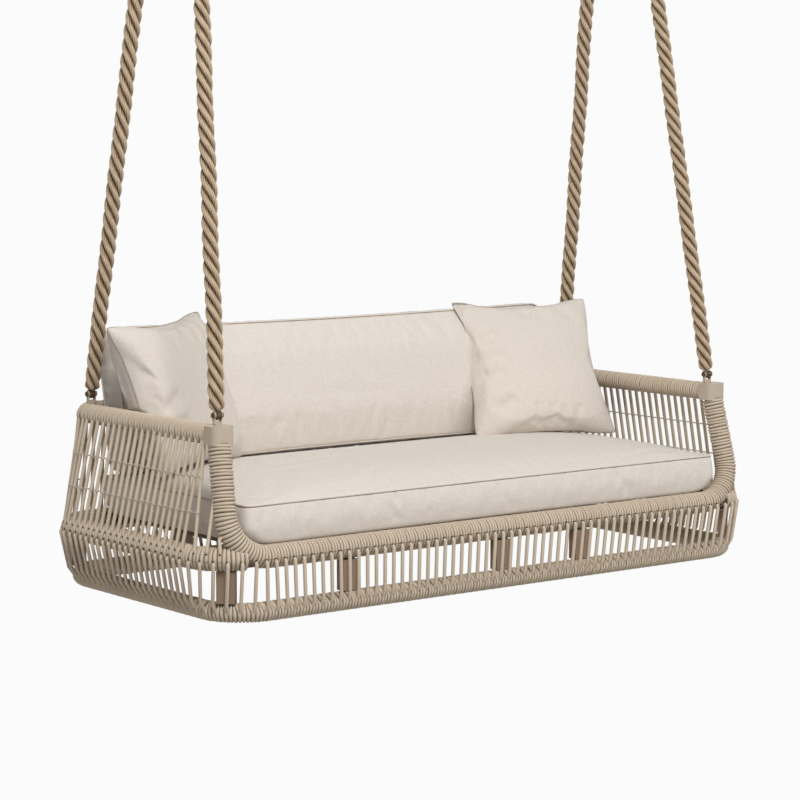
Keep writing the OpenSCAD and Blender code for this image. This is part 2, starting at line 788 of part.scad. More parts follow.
// Boxed cushion: [w, h] outline, edges at 0 and t, swelling by low and high past them. Its corners are
// rounded by r from a share of the height upwards, and by foot_r below
face_shares = [0.3, 0.6, 0.82, 0.94];
cushion_swell = 6;
function boxed_points(w, h, t, low, high, foot_r, r, pull, share = 0.5) =
    let (o = outline(w, h, r, pull), foot = outline(w, h, foot_r, pull))
    concat(
        [for (s = face_shares, p = foot) [p[0] * s, p[1] * s, -low * crown(2 * p[0] * s / w, 2 * p[1] * s / h)]],
        [for (p = foot) [p[0], p[1], 0]],
        [for (p = o) let (swell = 1 + cushion_swell / norm(p)) [p[0] * swell, p[1] * swell, share * t]],
        [for (p = o) [p[0], p[1], t]],
        [for (i = [3:-1:0], p = o) let (s = face_shares[i])
            [p[0] * s, p[1] * s, t + high * crown(2 * p[0] * s / w, 2 * p[1] * s / h)]],
        [[0, 0, -low], [0, 0, t + high]]
    );

module skin(points, rings) {
    polyhedron(points, ring_faces(rings, (len(points) - 2) / rings), convexity = 4);
}

module seat_cushion() {
    color([0.86, 0.83, 0.79]) seat_frame() translate([0, cushion_mid_y, cushion_z])
        skin(boxed_points(seat_cushion_w - 2 * cushion_swell, seat_cushion_d - 2 * cushion_swell,
            seat_cushion_t, 0, seat_crown, 110, 22, 5, 0.3), 11);
}

// Turns a point from the back cushion's own axes (across, up its slope, out of its front) to the
// seat's, and back again
function from_back(p) = [
    p[0] - back_shift,
    back_foot_y + p[1] * sin(back_lean) - p[2] * cos(back_lean),
    cushion_top + p[1] * cos(back_lean) + p[2] * sin(back_lean)
];
function to_back(p) = let (y = p[1] - back_foot_y, z = p[2] - cushion_top) [
    p[0] + back_shift,
    y * sin(back_lean) + z * cos(back_lean),
    -y * cos(back_lean) + z * sin(back_lean)
];

back_low_edge = 32;
function back_front(u, v) = back_cushion_t / 2 + back_crown * crown(
    min(1, abs(2 * u / back_cushion_w)), min(1, abs(2 * (v - back_low_edge - back_cushion_h / 2) / back_cushion_h)));

module back_cushion() {
    points = [
        for (p = boxed_points(back_cushion_w - 2 * cushion_swell, back_cushion_h - 2 * cushion_swell,
            back_cushion_t, back_swell, back_crown, 40, 40, 8))
            let (q = from_back([p[0], p[1] + back_low_edge + back_cushion_h / 2, p[2] - back_cushion_t / 2]))
            [q[0], q[1], max(q[2], seat_top(q[0], q[1]) + soft_clear)]
    ];
    color([0.85, 0.82, 0.77]) seat_frame() skin(points, 11);
}

// Knife-edged pillow: the two faces meet in a seam, with drawn-in sides and pointed corners
pillow_shares = [0.25, 0.5, 0.72, 0.88, 0.96];
function pillow_points() =
    let (o = outline(pillow_side, pillow_side, 14, 16),
         rise = function(p) pillow_half_t * pow(max(0, (1 - pow(abs(2 * p[0] / pillow_side), 2.4))
             * (1 - pow(abs(2 * p[1] / pillow_side), 2.4))), 0.55) + 4)
    concat(
        [for (s = pillow_shares, p = o) [p[0] * s, p[1] * s, -rise(p * s)]],
        [for (p = o) [p[0], p[1], 0]],
        [for (i = [4:-1:0], p = o) let (s = pillow_shares[i]) [p[0] * s, p[1] * s, rise(p * s)]],
        [[0, 0, -pillow_half_t - 4], [0, 0, pillow_half_t + 4]]
    );

// How far out a pillow may reach at a height: inside the arm, or over it once above the rail
function arm_limit(z) = arm_a - arm_wrap_r - 7 + min(120, 2.6 * max(0, z - block_top - 26));

// Stands a pillow on the seat, turned, leaning back and tipped, and presses it flat where it rests
module pillow(place, turn, lean, tip) {
    points = [
        for (f = pillow_points())
            let (p = [f[0] * cos(tip) - f[1] * sin(tip), f[0] * sin(tip) + f[1] * cos(tip), f[2]],
                 a = p[1] * cos(lean) + p[2] * sin(lean), b = p[1] * sin(lean) - p[2] * cos(lean),
                 q = place + [p[0] * cos(turn) - b * sin(turn), p[0] * sin(turn) + b * cos(turn), a],
                 v = to_back(q),
                 w = from_back([v[0], v[1], max(v[2], back_front(v[0], v[1]) + pillow_clear)]),
                 reach = arm_limit(w[2]))
            [max(-reach, min(reach, w[0])), w[1], max(w[2], seat_top(w[0], w[1]) + soft_clear)]
    ];
    skin(points, 11);
}

module pillow_left() {
    color([0.85, 0.81, 0.76]) seat_frame() pillow(
        [left_pillow_in - arm_a, arm_back - pillow_out, cushion_top + 0.53 * pillow_side],
        left_pillow_turn, left_pillow_lean, left_pillow_tip
    );
}

module pillow_right() {
    color([0.85, 0.81, 0.76]) seat_frame() pillow(
        [arm_a - right_pillow_in, arm_back - pillow_out, cushion_top + 0.514 * pillow_side],
        right_pillow_turn, right_pillow_lean, right_pillow_tip
    );
}

front_frame();
front_frame_wrap();
front_posts();
front_posts_wrap();
seat_ring();
seat_ring_wrap();
base_ring();
base_ring_wrap();
arm_rail();
arm_rail_wrap();
corner_block_left();
corner_block_right();
base_uprights();
rear_posts();
deck_rails();
deck_slats();
skirt_cords_front();
skirt_cords_back();
skirt_cords_left();
skirt_cords_right();
skirt_cords_corners();
arm_cords_left();
arm_cords_right();
back_cords();
back_cords_corners();
clevis_mounts();
front_clevises();
back_clevises();
front_clevis_pins();
back_clevis_pins();
front_lower_eyes();
back_lower_eyes();
front_upper_eyes();
back_upper_eyes();
front_rope_left();
front_rope_right();
back_rope_left();
back_rope_right();
ceiling_hangers();
hanger_pins();
seat_cushion();
back_cushion();
pillow_left();
pillow_right();
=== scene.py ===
# Hanging porch swing seat. Everything is in metres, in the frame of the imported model: the origin is
# on the ceiling between the four hangers, -Y is the open front and Z is up.
import json
import math

import bpy
import numpy as np
from mathutils import Matrix, Vector


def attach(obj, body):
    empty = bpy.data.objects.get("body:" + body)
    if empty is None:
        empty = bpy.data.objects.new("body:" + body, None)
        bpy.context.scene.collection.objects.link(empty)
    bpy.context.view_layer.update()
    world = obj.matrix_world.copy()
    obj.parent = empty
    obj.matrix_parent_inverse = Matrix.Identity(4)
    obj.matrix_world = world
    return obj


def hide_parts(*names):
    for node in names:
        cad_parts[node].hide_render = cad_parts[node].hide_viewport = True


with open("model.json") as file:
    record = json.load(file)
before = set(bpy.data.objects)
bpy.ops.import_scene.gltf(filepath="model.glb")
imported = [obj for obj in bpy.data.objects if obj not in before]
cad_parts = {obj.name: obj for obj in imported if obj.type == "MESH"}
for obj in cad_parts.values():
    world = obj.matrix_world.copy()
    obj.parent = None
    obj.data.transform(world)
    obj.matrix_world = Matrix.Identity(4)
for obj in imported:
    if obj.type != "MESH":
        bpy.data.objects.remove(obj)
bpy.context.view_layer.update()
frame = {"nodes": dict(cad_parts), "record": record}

# ---------------------------------------------------------------- Camera
# Stands at the photograph's place, left of the seat's front and a little above its arms, about eight
# metres off, with a long lens.
camera_data = bpy.data.cameras.new("camera")
camera_data.lens = 118.81
camera_data.sensor_width = 36.0
camera = bpy.data.objects.new("camera", camera_data)
camera.location = (-4.7219, -6.1067, -0.4706)
camera.rotation_euler = (math.radians(83.697), 0.0, math.radians(-37.502))
bpy.context.scene.collection.objects.link(camera)
bpy.context.scene.camera = camera

# ---------------------------------------------------------------- Ropes
# Four thick hemp ropes, each of four strands laid round each other, every strand a bundle of yarns.
# Both ends are drawn in and tucked where they close on an eye.
seat_level = -1.650
front_eye = (0.893, -0.326, -1.275)
back_eye = (0.885, 0.332, -1.275)
front_hook = (0.820, -0.147, -0.050)
back_hook = (0.820, 0.147, -0.050)
rope_lay = 0.162
rope_tip = 0.0114
strand_r = 0.0096
strand_out = 0.0129
yarns = 9


def deselect():
    if bpy.context.mode != "OBJECT":
        bpy.ops.object.mode_set(mode="OBJECT")
    bpy.ops.object.select_all(action="DESELECT")


def active(piece):
    deselect()
    piece.select_set(True)
    bpy.context.view_layer.objects.active = piece
    return piece


def apply_modifier(piece, modifier):
    active(piece)
    bpy.ops.object.modifier_apply(modifier=modifier.name)


def read_points(piece):
    points = np.empty(len(piece.data.vertices) * 3)
    piece.data.vertices.foreach_get("co", points)
    return points.reshape(-1, 3)


def write_points(piece, points):
    piece.data.vertices.foreach_set("co", points.ravel())
    piece.data.update()


def add_attribute(piece, name, values):
    layer = piece.data.attributes.new(name, "FLOAT", "POINT")
    layer.data.foreach_set("value", np.asarray(values, dtype=np.float32))


def face_outwards(piece):
    active(piece)
    bpy.ops.object.mode_set(mode="EDIT")
    bpy.ops.mesh.select_all(action="SELECT")
    bpy.ops.mesh.remove_doubles(threshold=0.00002)
    bpy.ops.mesh.normals_make_consistent(inside=False)
    bpy.ops.object.mode_set(mode="OBJECT")


def run_straight(profile, length, steps, axis):
    run = profile.modifiers.new("run", "SCREW")
    run.angle = 0.0
    run.screw_offset = length
    run.axis = axis
    run.steps = steps
    run.render_steps = steps
    run.use_normal_calculate = False
    apply_modifier(profile, run)


def lay(piece, turns):
    twist = piece.modifiers.new("lay", "SIMPLE_DEFORM")
    twist.deform_method = "TWIST"
    twist.deform_axis = "Z"
    twist.angle = turns * 2 * math.pi
    apply_modifier(piece, twist)


def make_strand(length):
    deselect()
    bpy.ops.mesh.primitive_circle_add(vertices=yarns * 3, radius=strand_r)
    strand = bpy.context.object
    ring = read_points(strand)
    crest = np.where(np.arange(len(ring)) % 3 == 0, 0.0, 1.0)
    write_points(strand, ring * (0.86 + 0.14 * crest)[:, None])
    add_attribute(strand, "yarn", crest)
    run_straight(strand, length, int(length / 0.0075), "Z")
    lay(strand, length / rope_lay * 1.35)
    return strand


def join(pieces):
    deselect()
    for piece in pieces:
        piece.select_set(True)
    bpy.context.view_layer.objects.active = pieces[0]
    bpy.ops.object.transform_apply(location=True, rotation=True, scale=True)
    bpy.ops.object.join()
    return bpy.context.object


def make_rope(name, foot, hook, phase):
    """Four strands laid round each other and drawn in at both ends, from a lower eye up to its hook"""
    axis = Vector(hook) - Vector(foot)
    length = axis.length - 2 * rope_tip
    strand = make_strand(length)
    copies = [strand]
    for _ in range(3):
        copy = strand.copy()
        copy.data = strand.data.copy()
        bpy.context.scene.collection.objects.link(copy)
        copies.append(copy)
    for number, copy in enumerate(copies):
        angle = math.radians(90 * number) + phase
        copy.location = (strand_out * math.cos(angle), strand_out * math.sin(angle), 0.0)
        copy.rotation_euler = (0.0, 0.0, angle)
    join(copies)
    lay(strand, -length / rope_lay)
    points = read_points(strand)
    reach = np.hypot(points[:, 0], points[:, 1])
    end = np.minimum(points[:, 2], length - points[:, 2])
    neck = np.interp(end, [0.0, 0.003, 0.008, 0.018, 0.034], [0.42, 0.72, 0.90, 0.98, 1.0])
    wave = 1.0 + 0.018 * np.sin(points[:, 2] * 61.0 + 9.0 * phase) + 0.012 * np.sin(points[:, 2] * 143.0)
    # depth runs from the grooves between the strands out to their crowns; the rope's colour uses it to paint
    # shade into the grooves.
    depth = np.clip((reach - 0.0125) / 0.0095, 0.0, 1.0)
    points[:, :2] *= (neck * wave)[:, None]
    points[:, 0] += 0.0012 * np.sin(points[:, 2] * 17.0 + phase)
    write_points(strand, points)
    add_attribute(strand, "depth", depth)
    strand.name = name
    strand.rotation_euler = axis.to_track_quat("Z", "Y").to_euler()
    strand.location = Vector(foot) + axis.normalized() * rope_tip
    active(strand)
    bpy.ops.object.transform_apply(location=True, rotation=True, scale=True)
    bpy.ops.object.shade_smooth()
    return strand


def mirrored(place):
    return (-place[0], place[1], place[2])


def set_inputs(tree, node, inputs):
    """Sets each input of a node to a value, or joins it to another node's output"""
    for key, value in inputs.items():
        if isinstance(value, bpy.types.NodeSocket):
            tree.links.new(value, node.inputs[key])
        else:
            node.inputs[key].default_value = value


def add_node(tree, kind, inputs=None, **settings):
    node = tree.nodes.new("ShaderNode" + kind)
    for key, value in settings.items():
        setattr(node, key, value)
    set_inputs(tree, node, inputs or {})
    return node


def new_material(name, finish):
    material = bpy.data.materials.new(name)
    material.use_nodes = True
    shader = material.node_tree.nodes["Principled BSDF"]
    set_inputs(material.node_tree, shader, finish)
    return material, material.node_tree, shader


def ramp(tree, value, stops):
    node = add_node(tree, "ValToRGB", {"Fac": value})
    elements = node.color_ramp.elements
    while len(elements) < len(stops):
        elements.new(0.5)
    for element, (place, colour) in zip(elements, stops):
        element.position = place
        element.color = (*colour, 1.0)
    return node.outputs["Color"]


def noise(tree, place, scale, detail=2.0):
    return add_node(tree, "TexNoise", {"Vector": place, "Scale": scale, "Detail": detail}).outputs["Fac"]


def weigh(tree, value, share, rest):
    """A share of one value, added to the rest"""
    return add_node(tree, "Math", {0: value, 1: share, 2: rest}, operation="MULTIPLY_ADD").outputs[0]


def raise_surface(tree, height, strength, distance):
    return add_node(tree, "Bump", {"Height": height, "Strength": strength, "Distance": distance})


def stretched(tree, place, scale):
    return add_node(tree, "Mapping", {"Vector": place, "Scale": scale}).outputs["Vector"]


def wear(piece, material):
    piece.data.materials.clear()
    piece.data.materials.append(material)


def rope_material():
    material, tree, shader = new_material("hemp rope", {
        "Roughness": 0.9, "Specular IOR Level": 0.15, "Sheen Weight": 0.25})
    place = add_node(tree, "TexCoord").outputs["Object"]
    fibre = noise(tree, stretched(tree, place, (900.0, 900.0, 70.0)), 1.0, 4.0)
    blotch = noise(tree, place, 45.0)
    # The depth and yarn attributes darken the rope to near black down in the grooves between its strands and
    # between its yarns: painted shade.
    depth = add_node(tree, "Attribute", attribute_name="depth").outputs["Fac"]
    yarn = add_node(tree, "Attribute", attribute_name="yarn").outputs["Fac"]
    shade = weigh(tree, depth, 0.55, weigh(tree, fibre, 0.45, -0.06))
    shade = weigh(tree, blotch, 0.30, weigh(tree, yarn, 0.13, shade))
    tone = ramp(tree, shade, [(0.15, (0.022, 0.012, 0.006)), (0.48, (0.115, 0.066, 0.034)),
                              (0.72, (0.330, 0.235, 0.145)), (1.0, (0.600, 0.480, 0.345))])
    bump = raise_surface(tree, fibre, 0.6, 0.0012)
    set_inputs(tree, shader, {"Base Color": tone, "Normal": bump.outputs["Normal"]})
    return material


hemp = rope_material()
for name, foot, hook, body, phase in (
        ("front_rope_left", mirrored(front_eye), mirrored(front_hook), "front_ropes", 0.4),
        ("front_rope_right", front_eye, front_hook, "front_ropes", 1.1),
        ("back_rope_left", mirrored(back_eye), mirrored(back_hook), "back_ropes", 0.9),
        ("back_rope_right", back_eye, back_hook, "back_ropes", 0.2)):
    rope = make_rope(name + "_strands", foot, hook, phase)
    wear(rope, hemp)
    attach(rope, body)
    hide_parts(name)
    run = Vector(hook) - Vector(foot)
    tip = run.normalized() * rope_tip
    start = Vector(foot) + tip
    finish = Vector(hook) - tip
    route = [tuple(start.lerp(finish, step / 20)) for step in range(21)]

# ---------------------------------------------------------------- Windings
# Round outdoor cord wound turn against turn on every tube of the frame. Each sleeve is one winding,
# run out straight, drawn in between its turns and then bent along its tube.
ring_half = (0.960, 0.407)
ring_bend = 0.118
ring_wrap = 0.032
base_half = (0.926, 0.419)
base_drop = 0.144
base_level = seat_level - base_drop
base_wrap = 0.027
arm_half = 0.898
arm_back = 0.384
arm_bend = 0.061
arm_rise = 0.322
arm_level = seat_level + arm_rise
arm_wrap = 0.027
arm_end = -0.3018
hang_shift = -0.008
turn_profile = (0.0, 0.62, 0.92, 1.0, 0.92, 0.62)


def arc(centre, radius, start, stop, steps):
    angles = [math.radians(start + (stop - start) * step / steps) for step in range(steps + 1)]
    return [(centre[0] + radius * math.cos(a), centre[1] + radius * math.sin(a)) for a in angles]


def ring_route(half, bend, level):
    x, y = half[0] - bend, half[1] - bend
    flat = [(0.0, -half[1])] + arc((x, -y), bend, -90, 0, 24) + arc((x, y), bend, 0, 90, 24)
    flat += arc((-x, y), bend, 90, 180, 24) + arc((-x, -y), bend, 180, 270, 24)
    return [(p[0], p[1] + hang_shift, level) for p in flat]


def route_length(route, closed=False):
    ends = route[1:] + ([route[0]] if closed else [])
    return sum(math.dist(a, b) for a, b in zip(route, ends))


def bend_along(piece, route, closed=False):
    curve = bpy.data.curves.new("route", "CURVE")
    curve.dimensions = "3D"
    curve.twist_mode = "Z_UP"
    spline = curve.splines.new("POLY")
    spline.points.add(len(route) - 1)
    for point, place in zip(spline.points, route):
        point.co = (*place, 1.0)
    spline.use_cyclic_u = closed
    guide = bpy.data.objects.new("route", curve)
    bpy.context.scene.collection.objects.link(guide)
    bend = piece.modifiers.new("bend", "CURVE")
    bend.object = guide
    bend.deform_axis = "POS_X"
    apply_modifier(piece, bend)
    bpy.data.objects.remove(guide)
    bpy.data.curves.remove(curve)


def wind(name, route, radius, turn, around=24, thick=0.0090, closed=False, uneven=0.0003,
         gather=None, swell=None):
    length = route_length(route, closed)
    turns = round(length / turn)
    steps = turns * len(turn_profile)
    deselect()
    bpy.ops.mesh.primitive_circle_add(vertices=around, radius=radius, rotation=(0.0, math.pi / 2, 0.0))
    sleeve = active(bpy.context.object)
    bpy.ops.object.transform_apply(location=True, rotation=True, scale=True)
    run_straight(sleeve, length, steps, "X")
    points = read_points(sleeve)
    station = np.rint(points[:, 0] / length * steps).astype(int)
    high = np.array(turn_profile)[station % len(turn_profile)]
    number = station // len(turn_profile)
    angle = np.arctan2(points[:, 2], points[:, 1])
    rise = np.arctan2(points[:, 2], -points[:, 1])
    reach = radius - thick * 0.5 * (1.0 - high) + uneven * np.sin(number * 2.4 + 1.3 * np.sin(number * 0.7))
    inside = (station > 0) & (station < steps)
    if swell:
        reach += np.where(inside, swell(points[:, 0], rise), 0.0)
    points[:, 1] = reach * np.cos(angle)
    points[:, 2] = reach * np.sin(angle)
    points[:, 0] += np.where(inside, uneven * 1.6 * np.sin(angle + number * 1.9), 0.0)
    if gather:
        points[:, 0] += np.where(inside, gather(points[:, 0], rise), 0.0)
    # crest is 1 on each turn's crown and 0 in the groove between turns; the wound cord's colour uses it to
    # paint shade into the grooves.
    add_attribute(sleeve, "crest", high)
    write_points(sleeve, points)
    bend_along(sleeve, route, closed)
    face_outwards(sleeve)
    bpy.ops.object.shade_smooth()
    sleeve.name = name
    return sleeve


def new_group(name, sockets):
    group = bpy.data.node_groups.new(name, "ShaderNodeTree")
    for socket, way, kind in sockets:
        group.interface.new_socket(socket, in_out=way, socket_type="NodeSocket" + kind)
    return group, group.nodes.new("NodeGroupInput").outputs, group.nodes.new("NodeGroupOutput")


def fibre_group():
    group, given, leave = new_group("cord fibre", (
        ("Scale", "INPUT", "Float"), ("Strength", "INPUT", "Float"),
        ("Tone", "OUTPUT", "Float"), ("Normal", "OUTPUT", "Vector")))
    place = add_node(group, "TexCoord").outputs["Object"]
    fine = noise(group, place, given["Scale"], 3.0)
    broad = add_node(group, "Math", {0: noise(group, place, 9.0), 1: 0.4}, operation="MULTIPLY").outputs[0]
    bump = raise_surface(group, fine, given["Strength"], 0.0006)
    set_inputs(group, leave, {"Tone": weigh(group, fine, 0.6, broad), "Normal": bump.outputs["Normal"]})
    return group


cord_fibre = fibre_group()


def cord_material(name, light, dark, groove_shade=None):
    """Cord of two close tones; given a groove colour, painted shade darkens it down in the grooves between its
    turns
    """
    material, tree, shader = new_material(name, {"Roughness": 0.72, "Specular IOR Level": 0.25})
    fibre = add_node(tree, "Group", {"Scale": 700.0, "Strength": 0.35}, node_tree=cord_fibre)
    colour = ramp(tree, fibre.outputs["Tone"], [(0.3, dark), (0.7, light)])
    if groove_shade:
        crest = add_node(tree, "Attribute", attribute_name="crest").outputs["Fac"]
        edge = add_node(tree, "MapRange", {"Value": crest, "From Min": 0.0, "From Max": 0.75}).outputs["Result"]
        colour = add_node(tree, "Mix", {0: edge, 6: (*groove_shade, 1.0), 7: colour}, data_type="RGBA").outputs[2]
    set_inputs(tree, shader, {"Base Color": colour, "Normal": fibre.outputs["Normal"]})
    return material


# The third colour is painted shade, laid into the grooves between the turns where the crest attribute is low.
wound_cord = cord_material("wound cord", (0.63, 0.54, 0.43), (0.525, 0.44, 0.34), (0.085, 0.055, 0.032))

# Skirt cords to each quarter of a ring, from the middle of the front on. Their feet lag the heads a little.
per_quarter = 44


def quarter(half, bend):
    return half[0] + half[1] - 2 * bend + math.pi * bend / 2


def on_ring(run, half, bend):
    q = quarter(half, bend)
    run = (run + q) % (4 * q) - q
    if run < 0:
        x, y, g = on_ring(-run, half, bend)
        return -x, y, math.pi - g
    if run > 2 * q:
        x, y, g = on_ring(4 * q - run, half, bend)
        return -x, y, math.pi - g
    if run > q:
        x, y, g = on_ring(2 * q - run, half, bend)
        return x, -y, -g
    straight = half[0] - bend
    if run < straight:
        return run, -half[1], -math.pi / 2
    if run < straight + math.pi * bend / 2:
        g = (run - straight) / bend - math.pi / 2
        return straight + bend * math.cos(g), bend - half[1] + bend * math.sin(g), g
    return half[0], run - q, 0.0


cord_step = quarter(ring_half, ring_bend) / per_quarter
base_step = quarter(base_half, ring_bend) / per_quarter
skirt_lean = 0.012


def slope(value, start, end):
    return np.clip((value - start) / (end - start), 0.0, 1.0)


def gather_at_cords(run, rise):
    """The turns on the base ring close up behind each skirt cord and leave a gap before the next"""
    past = np.mod(run + skirt_lean - base_step / 2, base_step)
    up = np.degrees(rise)
    pull = slope(up, 12.0, 52.0) * slope(up, 150.0, 110.0)
    share, gap_from = past / base_step, 0.93
    return -0.42 * pull * past * np.where(share < gap_from, share, gap_from * (1 - share) / (1 - gap_from))


base_sleeve = wind("base_windings", ring_route(base_half, ring_bend, base_level), base_wrap, 0.0101,
                   closed=True, gather=gather_at_cords)
wear(base_sleeve, wound_cord)
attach(base_sleeve, "seat")
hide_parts("base_ring_wrap")

# ---------------------------------------------------------------- Seat ring, arm rail and front frame
# The other windings: the seat ring's sides and back, the arm rail in one bent length, and the front
# frame, whose posts are wound a little closer and less evenly than the rings.


def seat_ring_route():
    x, y = ring_half[0] - ring_bend, ring_half[1] - ring_bend
    flat = arc((x, -y), ring_bend, -78, 0, 22) + arc((x, y), ring_bend, 0, 90, 24)
    flat += arc((-x, y), ring_bend, 90, 180, 24) + arc((-x, -y), ring_bend, 180, 258, 22)
    return [(p[0], p[1] + hang_shift, seat_level) for p in flat]


def arm_route():
    x, y = arm_half - arm_bend, arm_back - arm_bend
    flat = [(arm_half, arm_end)] + arc((x, y), arm_bend, 0, 90, 20) + arc((-x, y), arm_bend, 90, 180, 20)
    flat += [(-arm_half, arm_end)]
    return [(p[0], p[1] + hang_shift, arm_level) for p in flat]


frame_tilt = math.radians(13.28)
post_lean = math.radians(3.98)
front_bend = 0.118
front_bend_x = 0.7947
block_depth = 0.0502


def front_place(u, v):
    """A place in the front frame's own leaning plane, across and up from the front rail"""
    return (u, -ring_half[1] + hang_shift + v * math.sin(frame_tilt), seat_level + v * math.cos(frame_tilt))


def front_rail_route():
    bow = arc((front_bend_x, front_bend), front_bend, -90, -90 + 94, 30)
    left = [(-u, v) for u, v in reversed(bow)]
    return [front_place(u, v) for u, v in left + bow]


def post_route(side):
    foot = (front_bend_x + front_bend * math.cos(post_lean), front_bend + front_bend * math.sin(post_lean))
    up = (-math.sin(post_lean), math.cos(post_lean))
    top = (arm_rise + arm_wrap - block_depth) / math.cos(frame_tilt)
    run = (top - foot[1]) / up[1]
    places = [(foot[0] + up[0] * t, foot[1] + up[1] * t) for t in np.linspace(0.0, run, 8)]
    return [front_place(side * u, v) for u, v in places]


def on_arm(u):
    """A place on the arm rail and its way outwards, at a distance back from the middle of the arm"""
    past = u - arm_back + arm_bend
    g = past / arm_bend
    if past < 0:
        return arm_half, u, 0.0
    if g < math.pi / 2:
        return arm_half - arm_bend * (1 - math.cos(g)), arm_back - arm_bend * (1 - math.sin(g)), g
    return arm_half - arm_bend - past + math.pi * arm_bend / 2, arm_back, math.pi / 2


# Where the panel cords leave the arm rail and where their feet stand round the seat ring
arm_pitch = 0.0295
arm_count = 21
foot_back = 0.008
side_middle = quarter(ring_half, ring_bend)
side_straight = ring_half[1] - ring_bend
back_step = side_middle / 41
back_count = 26
ring_start = 0.8667


def arm_foot(u):
    """How far round the seat ring's side an arm cord's foot stands"""
    past = u + foot_back + side_straight
    return max(0.0, past) + 1.06 * min(0.0, past) - side_straight


arm_tops = [arm_end + 0.012 + k * arm_pitch for k in range(arm_count)]
arm_feet = [side_middle + arm_foot(u) for u in arm_tops]
back_top = arm_back + arm_half - (2 - math.pi / 2) * arm_bend - back_count * back_step
back_foot = 2 * side_middle - back_count * back_step
corner_count = round((back_foot - arm_feet[-1]) / arm_pitch) - 1
corner_shares = [j / (corner_count + 1) for j in range(1, corner_count + 1)]
corner_tops = [arm_tops[-1] + f * (back_top - arm_tops[-1]) for f in corner_shares]
corner_feet = [arm_feet[-1] + f * (back_foot - arm_feet[-1]) for f in corner_shares]
back_numbers = range(-back_count, back_count + 1)
back_feet = [2 * side_middle - number * back_step for number in back_numbers]
post_tops = (-0.331, -0.361, -0.389)
post_feet = [side_middle + arm_foot(u) for u in post_tops]
side_feet = post_feet + arm_feet + corner_feet
all_feet = np.sort(np.array(side_feet + [4 * side_middle - run for run in side_feet] + back_feet))
rail_tops = [u - arm_end for u in arm_tops + corner_tops]
rail_length = route_length(arm_route())
rail_tops = np.sort(np.array(rail_tops + [rail_length - run for run in rail_tops]
                             + [rail_length / 2 + number * back_step for number in back_numbers]))


def nearest(run, places):
    at = np.clip(np.searchsorted(places, run), 1, len(places) - 1)
    return np.minimum(abs(run - places[at - 1]), abs(run - places[at]))


def ring_hoods(run, rise):
    """The turns between two panel cords' feet stand proud, and the cords lie in the dips"""
    share = np.clip(nearest(run + ring_start, all_feet) / (arm_pitch / 2), 0.0, 1.0)
    up = np.degrees(rise)
    return slope(up, -30.0, 0.0) * slope(up, 82.0, 60.0) * (0.0042 * share ** 0.6 - 0.0014)


def rail_hoods(run, rise):
    """The turns over the head of each panel cord bulge out and down into a tooth"""
    near = np.exp(-(nearest(run, rail_tops) / 0.0085) ** 2)
    up = np.degrees(rise)
    return slope(up, -72.0, -48.0) * slope(up, 20.0, -20.0) * 0.0062 * near


for name, route, radius, turn, node, swell in (
        ("seat_ring_windings", seat_ring_route(), ring_wrap, 0.0098, "seat_ring_wrap", ring_hoods),
        ("arm_windings", arm_route(), arm_wrap, 0.0098, "arm_rail_wrap", rail_hoods),
        ("front_rail_windings", front_rail_route(), ring_wrap, 0.0098, "front_frame_wrap", None),
        ("post_windings_left", post_route(-1), ring_wrap, 0.0096, "front_posts_wrap", None),
        ("post_windings_right", post_route(1), ring_wrap, 0.0096, "front_posts_wrap", None)):
    sleeve = wind(name, route, radius, turn, uneven=0.0007 if "post" in name else 0.0003, swell=swell,
                  around=40 if swell else 24)
    wear(sleeve, wound_cord)
    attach(sleeve, "seat")
    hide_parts(node)

# ---------------------------------------------------------------- Skirt cords
# One cord at each place round the seat ring comes out through the windings a little below the
# middle of its outer face, drops to the base ring and goes in among the turns there.
cord_r = 0.0052


def tangent_line(out, drop, top_r, low_r):
    """The angle up from outwards at which a straight cord leaves both rings' windings"""
    gap = math.hypot(out, drop)
    return math.atan2(-drop, out) + math.acos((top_r - low_r) / gap)


def sweep_cord(name, routes, radius, closed=False, blunt=()):
    curve = bpy.data.curves.new(name, "CURVE")
    curve.dimensions = "3D"
    curve.bevel_depth = radius
    curve.bevel_resolution = 2
    curve.use_fill_caps = True
    for route in routes:
        spline = curve.splines.new("POLY")
        spline.points.add(len(route) - 1)
        for point, place in zip(spline.points, route):
            point.co = (*place, 1.0)
        for point, share in zip(spline.points, blunt):
            point.radius = share
        spline.use_cyclic_u = closed
    piece = bpy.data.objects.new(name, curve)
    bpy.context.scene.collection.objects.link(piece)
    active(piece)
    bpy.ops.object.convert(target="MESH")
    piece = bpy.context.object
    bpy.ops.object.shade_smooth()
    return piece


def off_ring(place, r, rise, level):
    """A place over a ring's windings, at a radius and an angle up from the outward side"""
    x, y, g = place
    return (x + r * math.cos(rise) * math.cos(g), y + r * math.cos(rise) * math.sin(g) + hang_shift,
            level + r * math.sin(rise))


def skirt_route(number):
    head = on_ring(number * cord_step, ring_half, ring_bend)
    foot = on_ring(number * base_step - skirt_lean, base_half, ring_bend)
    out = (foot[0] - head[0]) * math.cos(head[2]) + (foot[1] - head[1]) * math.sin(head[2])
    top_r, low_r = ring_wrap + cord_r, base_wrap + cord_r
    lift = tangent_line(out, base_drop, top_r, low_r)
    route = []
    for step in range(4):
        rise = math.radians(-8.5 - 4.5 * step)
        r = top_r / math.cos(max(0.0, lift - rise)) - 0.0044 * (1 - step / 3) ** 2
        route.append(off_ring(head, r, rise, seat_level))
    touch = math.radians(34.0)
    uneven = 0.0004 * math.sin(number * 1.9)
    for rise, r in ((touch, low_r / math.cos(touch - lift)), (math.radians(20.0), 0.0280),
                    (math.radians(8.0), 0.0224), (math.radians(-6.0), 0.0182)):
        route.append(off_ring(foot, r + uneven, rise, base_level))
    return route


